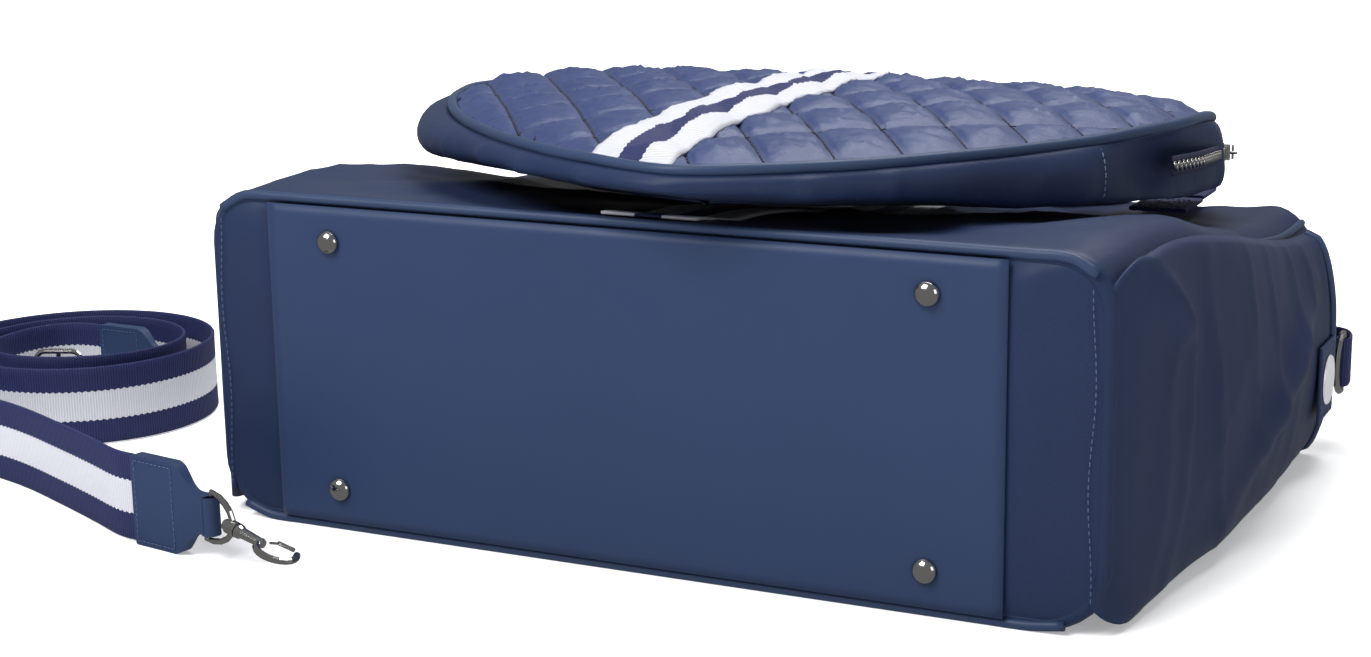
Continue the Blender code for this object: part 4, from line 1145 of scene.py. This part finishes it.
def make_handles():
    """The two handles, and the sewn ends of the front one."""
    for word in ("front", "back"):
        node = f"{word}_handle"
        low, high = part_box(node)
        x, end, z = high.x - HANDLE_WIDTH / 2, high.y - HANDLE_WIDTH / 2, (low.z + high.z) / 2
        right = [Vector((x, low.y + 0.0002, z))]
        for turn in steps(0.0, math.pi / 2, 12):
            inwards, short = HANDLE_TURN * (1 - math.cos(turn)), HANDLE_TURN * (1 - math.sin(turn))
            right.append(Vector((x - inwards, end - short, z)))
        line = right + [Vector((-p.x, p.y, p.z)) for p in reversed(right)]
        band(f"{node}_webbing", evenly(line, 0.004), level, HANDLE_WIDTH, 0.0028, f"handle_{word}", node)
    for word in ("left", "right"):
        node = f"front_handle_anchor_{word}"
        low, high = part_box(node)
        line = [Vector(((low.x + high.x) / 2, y, (low.z + high.z) / 2)) for y in steps(low.y, high.y, 9)]
        band(f"{node}_webbing", line, level, HANDLE_WIDTH, 0.0027, "bag", node)
        xs, ys = (low.x + 0.004, high.x - 0.004), (low.y + 0.004, low.y + 0.028)
        box = [Vector((xs[a], ys[b], high.z + 0.0003)) for a, b in ((0, 0), (1, 0), (1, 1), (0, 1))]
        bm = bmesh.new()
        for a, b in ((0, 1), (1, 2), (2, 3), (3, 0), (0, 2), (1, 3)):
            add_stitches(bm, [box[a], box[b]], 0.0030, 0.0022, 0.00030)
        piece(f"anchor_stitches_{word}", bm, THREAD, "bag")


def make_ring_tabs():
    """Webbing from each side's top seam, folded round the ring's straight bar and back."""
    for hand, word in ((-1, "left"), (1, "right")):
        node = f"{word}_ring_tab"
        low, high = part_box(node)
        x, z = half_width(HEIGHT), (low.z + high.z) / 2
        path = (
            (0.0028, -0.0255), (0.0030, -0.008), (0.0058, 0.0018), (0.0112, 0.0066), (0.0190, 0.0030),
            (0.0240, -0.0070), (0.0254, -0.0200), (0.0220, -0.0234), (0.0186, -0.0200), (0.0200, -0.0120),
        )
        line = spline([at(hand * (x + out), HEIGHT + up, z) for out, up in path], 0.0015)
        band(f"{word}_tab_webbing", line, lambda a: UP, high.z - low.z, 0.0016, "bag", node)


def parting(x):
    """Half the gap between the main zip's two rows of teeth."""
    if abs(x) >= ZIP_OPEN:
        return 0.0006
    return 0.0006 + ZIP_GAP / 2 * math.cos(math.pi / 2 * x / ZIP_OPEN) ** 2


def make_top():
    """The nylon and the zip tapes that close the top, with the zip's teeth."""
    teeth = bmesh.new()
    corner = 0.022
    for hand, word in ((1, "front"), (-1, "back")):

        def cloth_point(x, share):
            inner = ZIP_Z + hand * (parting(x) + 0.0122 if abs(x) < ZIP_HALF else 0.0004)
            over = min(max(0.0, abs(x) - (TOP_HALF - corner)), 0.0216)
            outer = ZIP_Z + hand * (TOP_DEPTH / 2 - 0.0016 - (corner - math.sqrt(corner**2 - over**2)))
            p = at(x, HEIGHT - 0.0006 - 0.0012 * share**6, inner + (outer - inner) * share)
            return p + Vector((0, 0.0010 * folds(p, 0.045, 71) * math.sin(math.pi * share) - 0.0006, 0))

        def tape_point(x, off):
            return at(x, HEIGHT - 0.0008, ZIP_Z + hand * (parting(x) + off))

        end, node = TOP_HALF * 0.994, f"top_gusset_{word}"
        bm = sheet(steps(-end, end, 96), steps(0.0, 1.0, 10), cloth_point)
        piece(f"top_cloth_{word}", bm, NYLON, "bag", (node,), thick=0.0018, side=0.0)
        bm = sheet(steps(-ZIP_HALF, ZIP_HALF, 100), steps(0.0, 0.012, 4), tape_point)
        node = f"main_zip_tape_{word}"
        piece(f"zip_tape_cloth_{word}", bm, TAPE, "bag", (node,), thick=0.0010, side=0.0)
        for i in range(154):
            x = ZIP_HALF * 0.99 * ((i + (0.5 if hand > 0 else 0.0)) / 77 - 1)
            axes = (Vector((1, 0, 0)), Vector((0, 1, 0)), UP)
            box_mesh(teeth, tape_point(x, 0.0008), axes, (0.0013, 0.0024, 0.0030))
    piece("main_zip_teeth", fix_normals(teeth), METAL, "bag")


def make_small_cloths():
    """The flap's hinge strip and the slip pocket inside the bag."""
    low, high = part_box("flap_hinge_strip")
    xs = steps(low.x, high.x, 48)

    def strip_point(j, x):
        p = Vector((x, (low.y + high.y) / 2, low.z + (high.z - low.z) * j / 12))
        return p + Vector((0, 0.0008 * folds(p, 0.05, 82) * math.sin(math.pi * j / 12), 0))

    bm = sheet(range(13), xs, strip_point)
    piece("hinge_cloth", bm, NYLON, "flap", ("flap_hinge_strip",), thick=0.0012, side=0.0)
    low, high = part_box("inner_slip_pocket")

    def pocket_cloth_point(y, i):
        p = Vector((low.x + (high.x - low.x) * i / 48, y, (low.z + high.z) / 2))
        return p + UP * 0.0012 * folds(p, 0.05, 81) * math.sin(math.pi * i / 48)

    bm = sheet(steps(low.y, high.y, 12), range(49), pocket_cloth_point)
    piece("slip_pocket_cloth", bm, LINING, "bag", ("inner_slip_pocket",), thick=0.0012, side=0.0)


paint_nodes()
make_camera()
make_strap()
make_floor()
make_lights()
make_body()
make_base()
make_lining()
make_base_piping()
make_feet()
for hand, label in ((-1, "left"), (1, "right")):
    make_pocket(hand, label)
make_badge()
make_front_stripe()
RADII = edge_radii()
make_quilt(RADII)
make_flap_stripe(RADII)
make_gusset()
make_flap_piping()
make_zip_teeth()
make_side_seams()
make_handles()
make_ring_tabs()
make_top()
make_small_cloths()
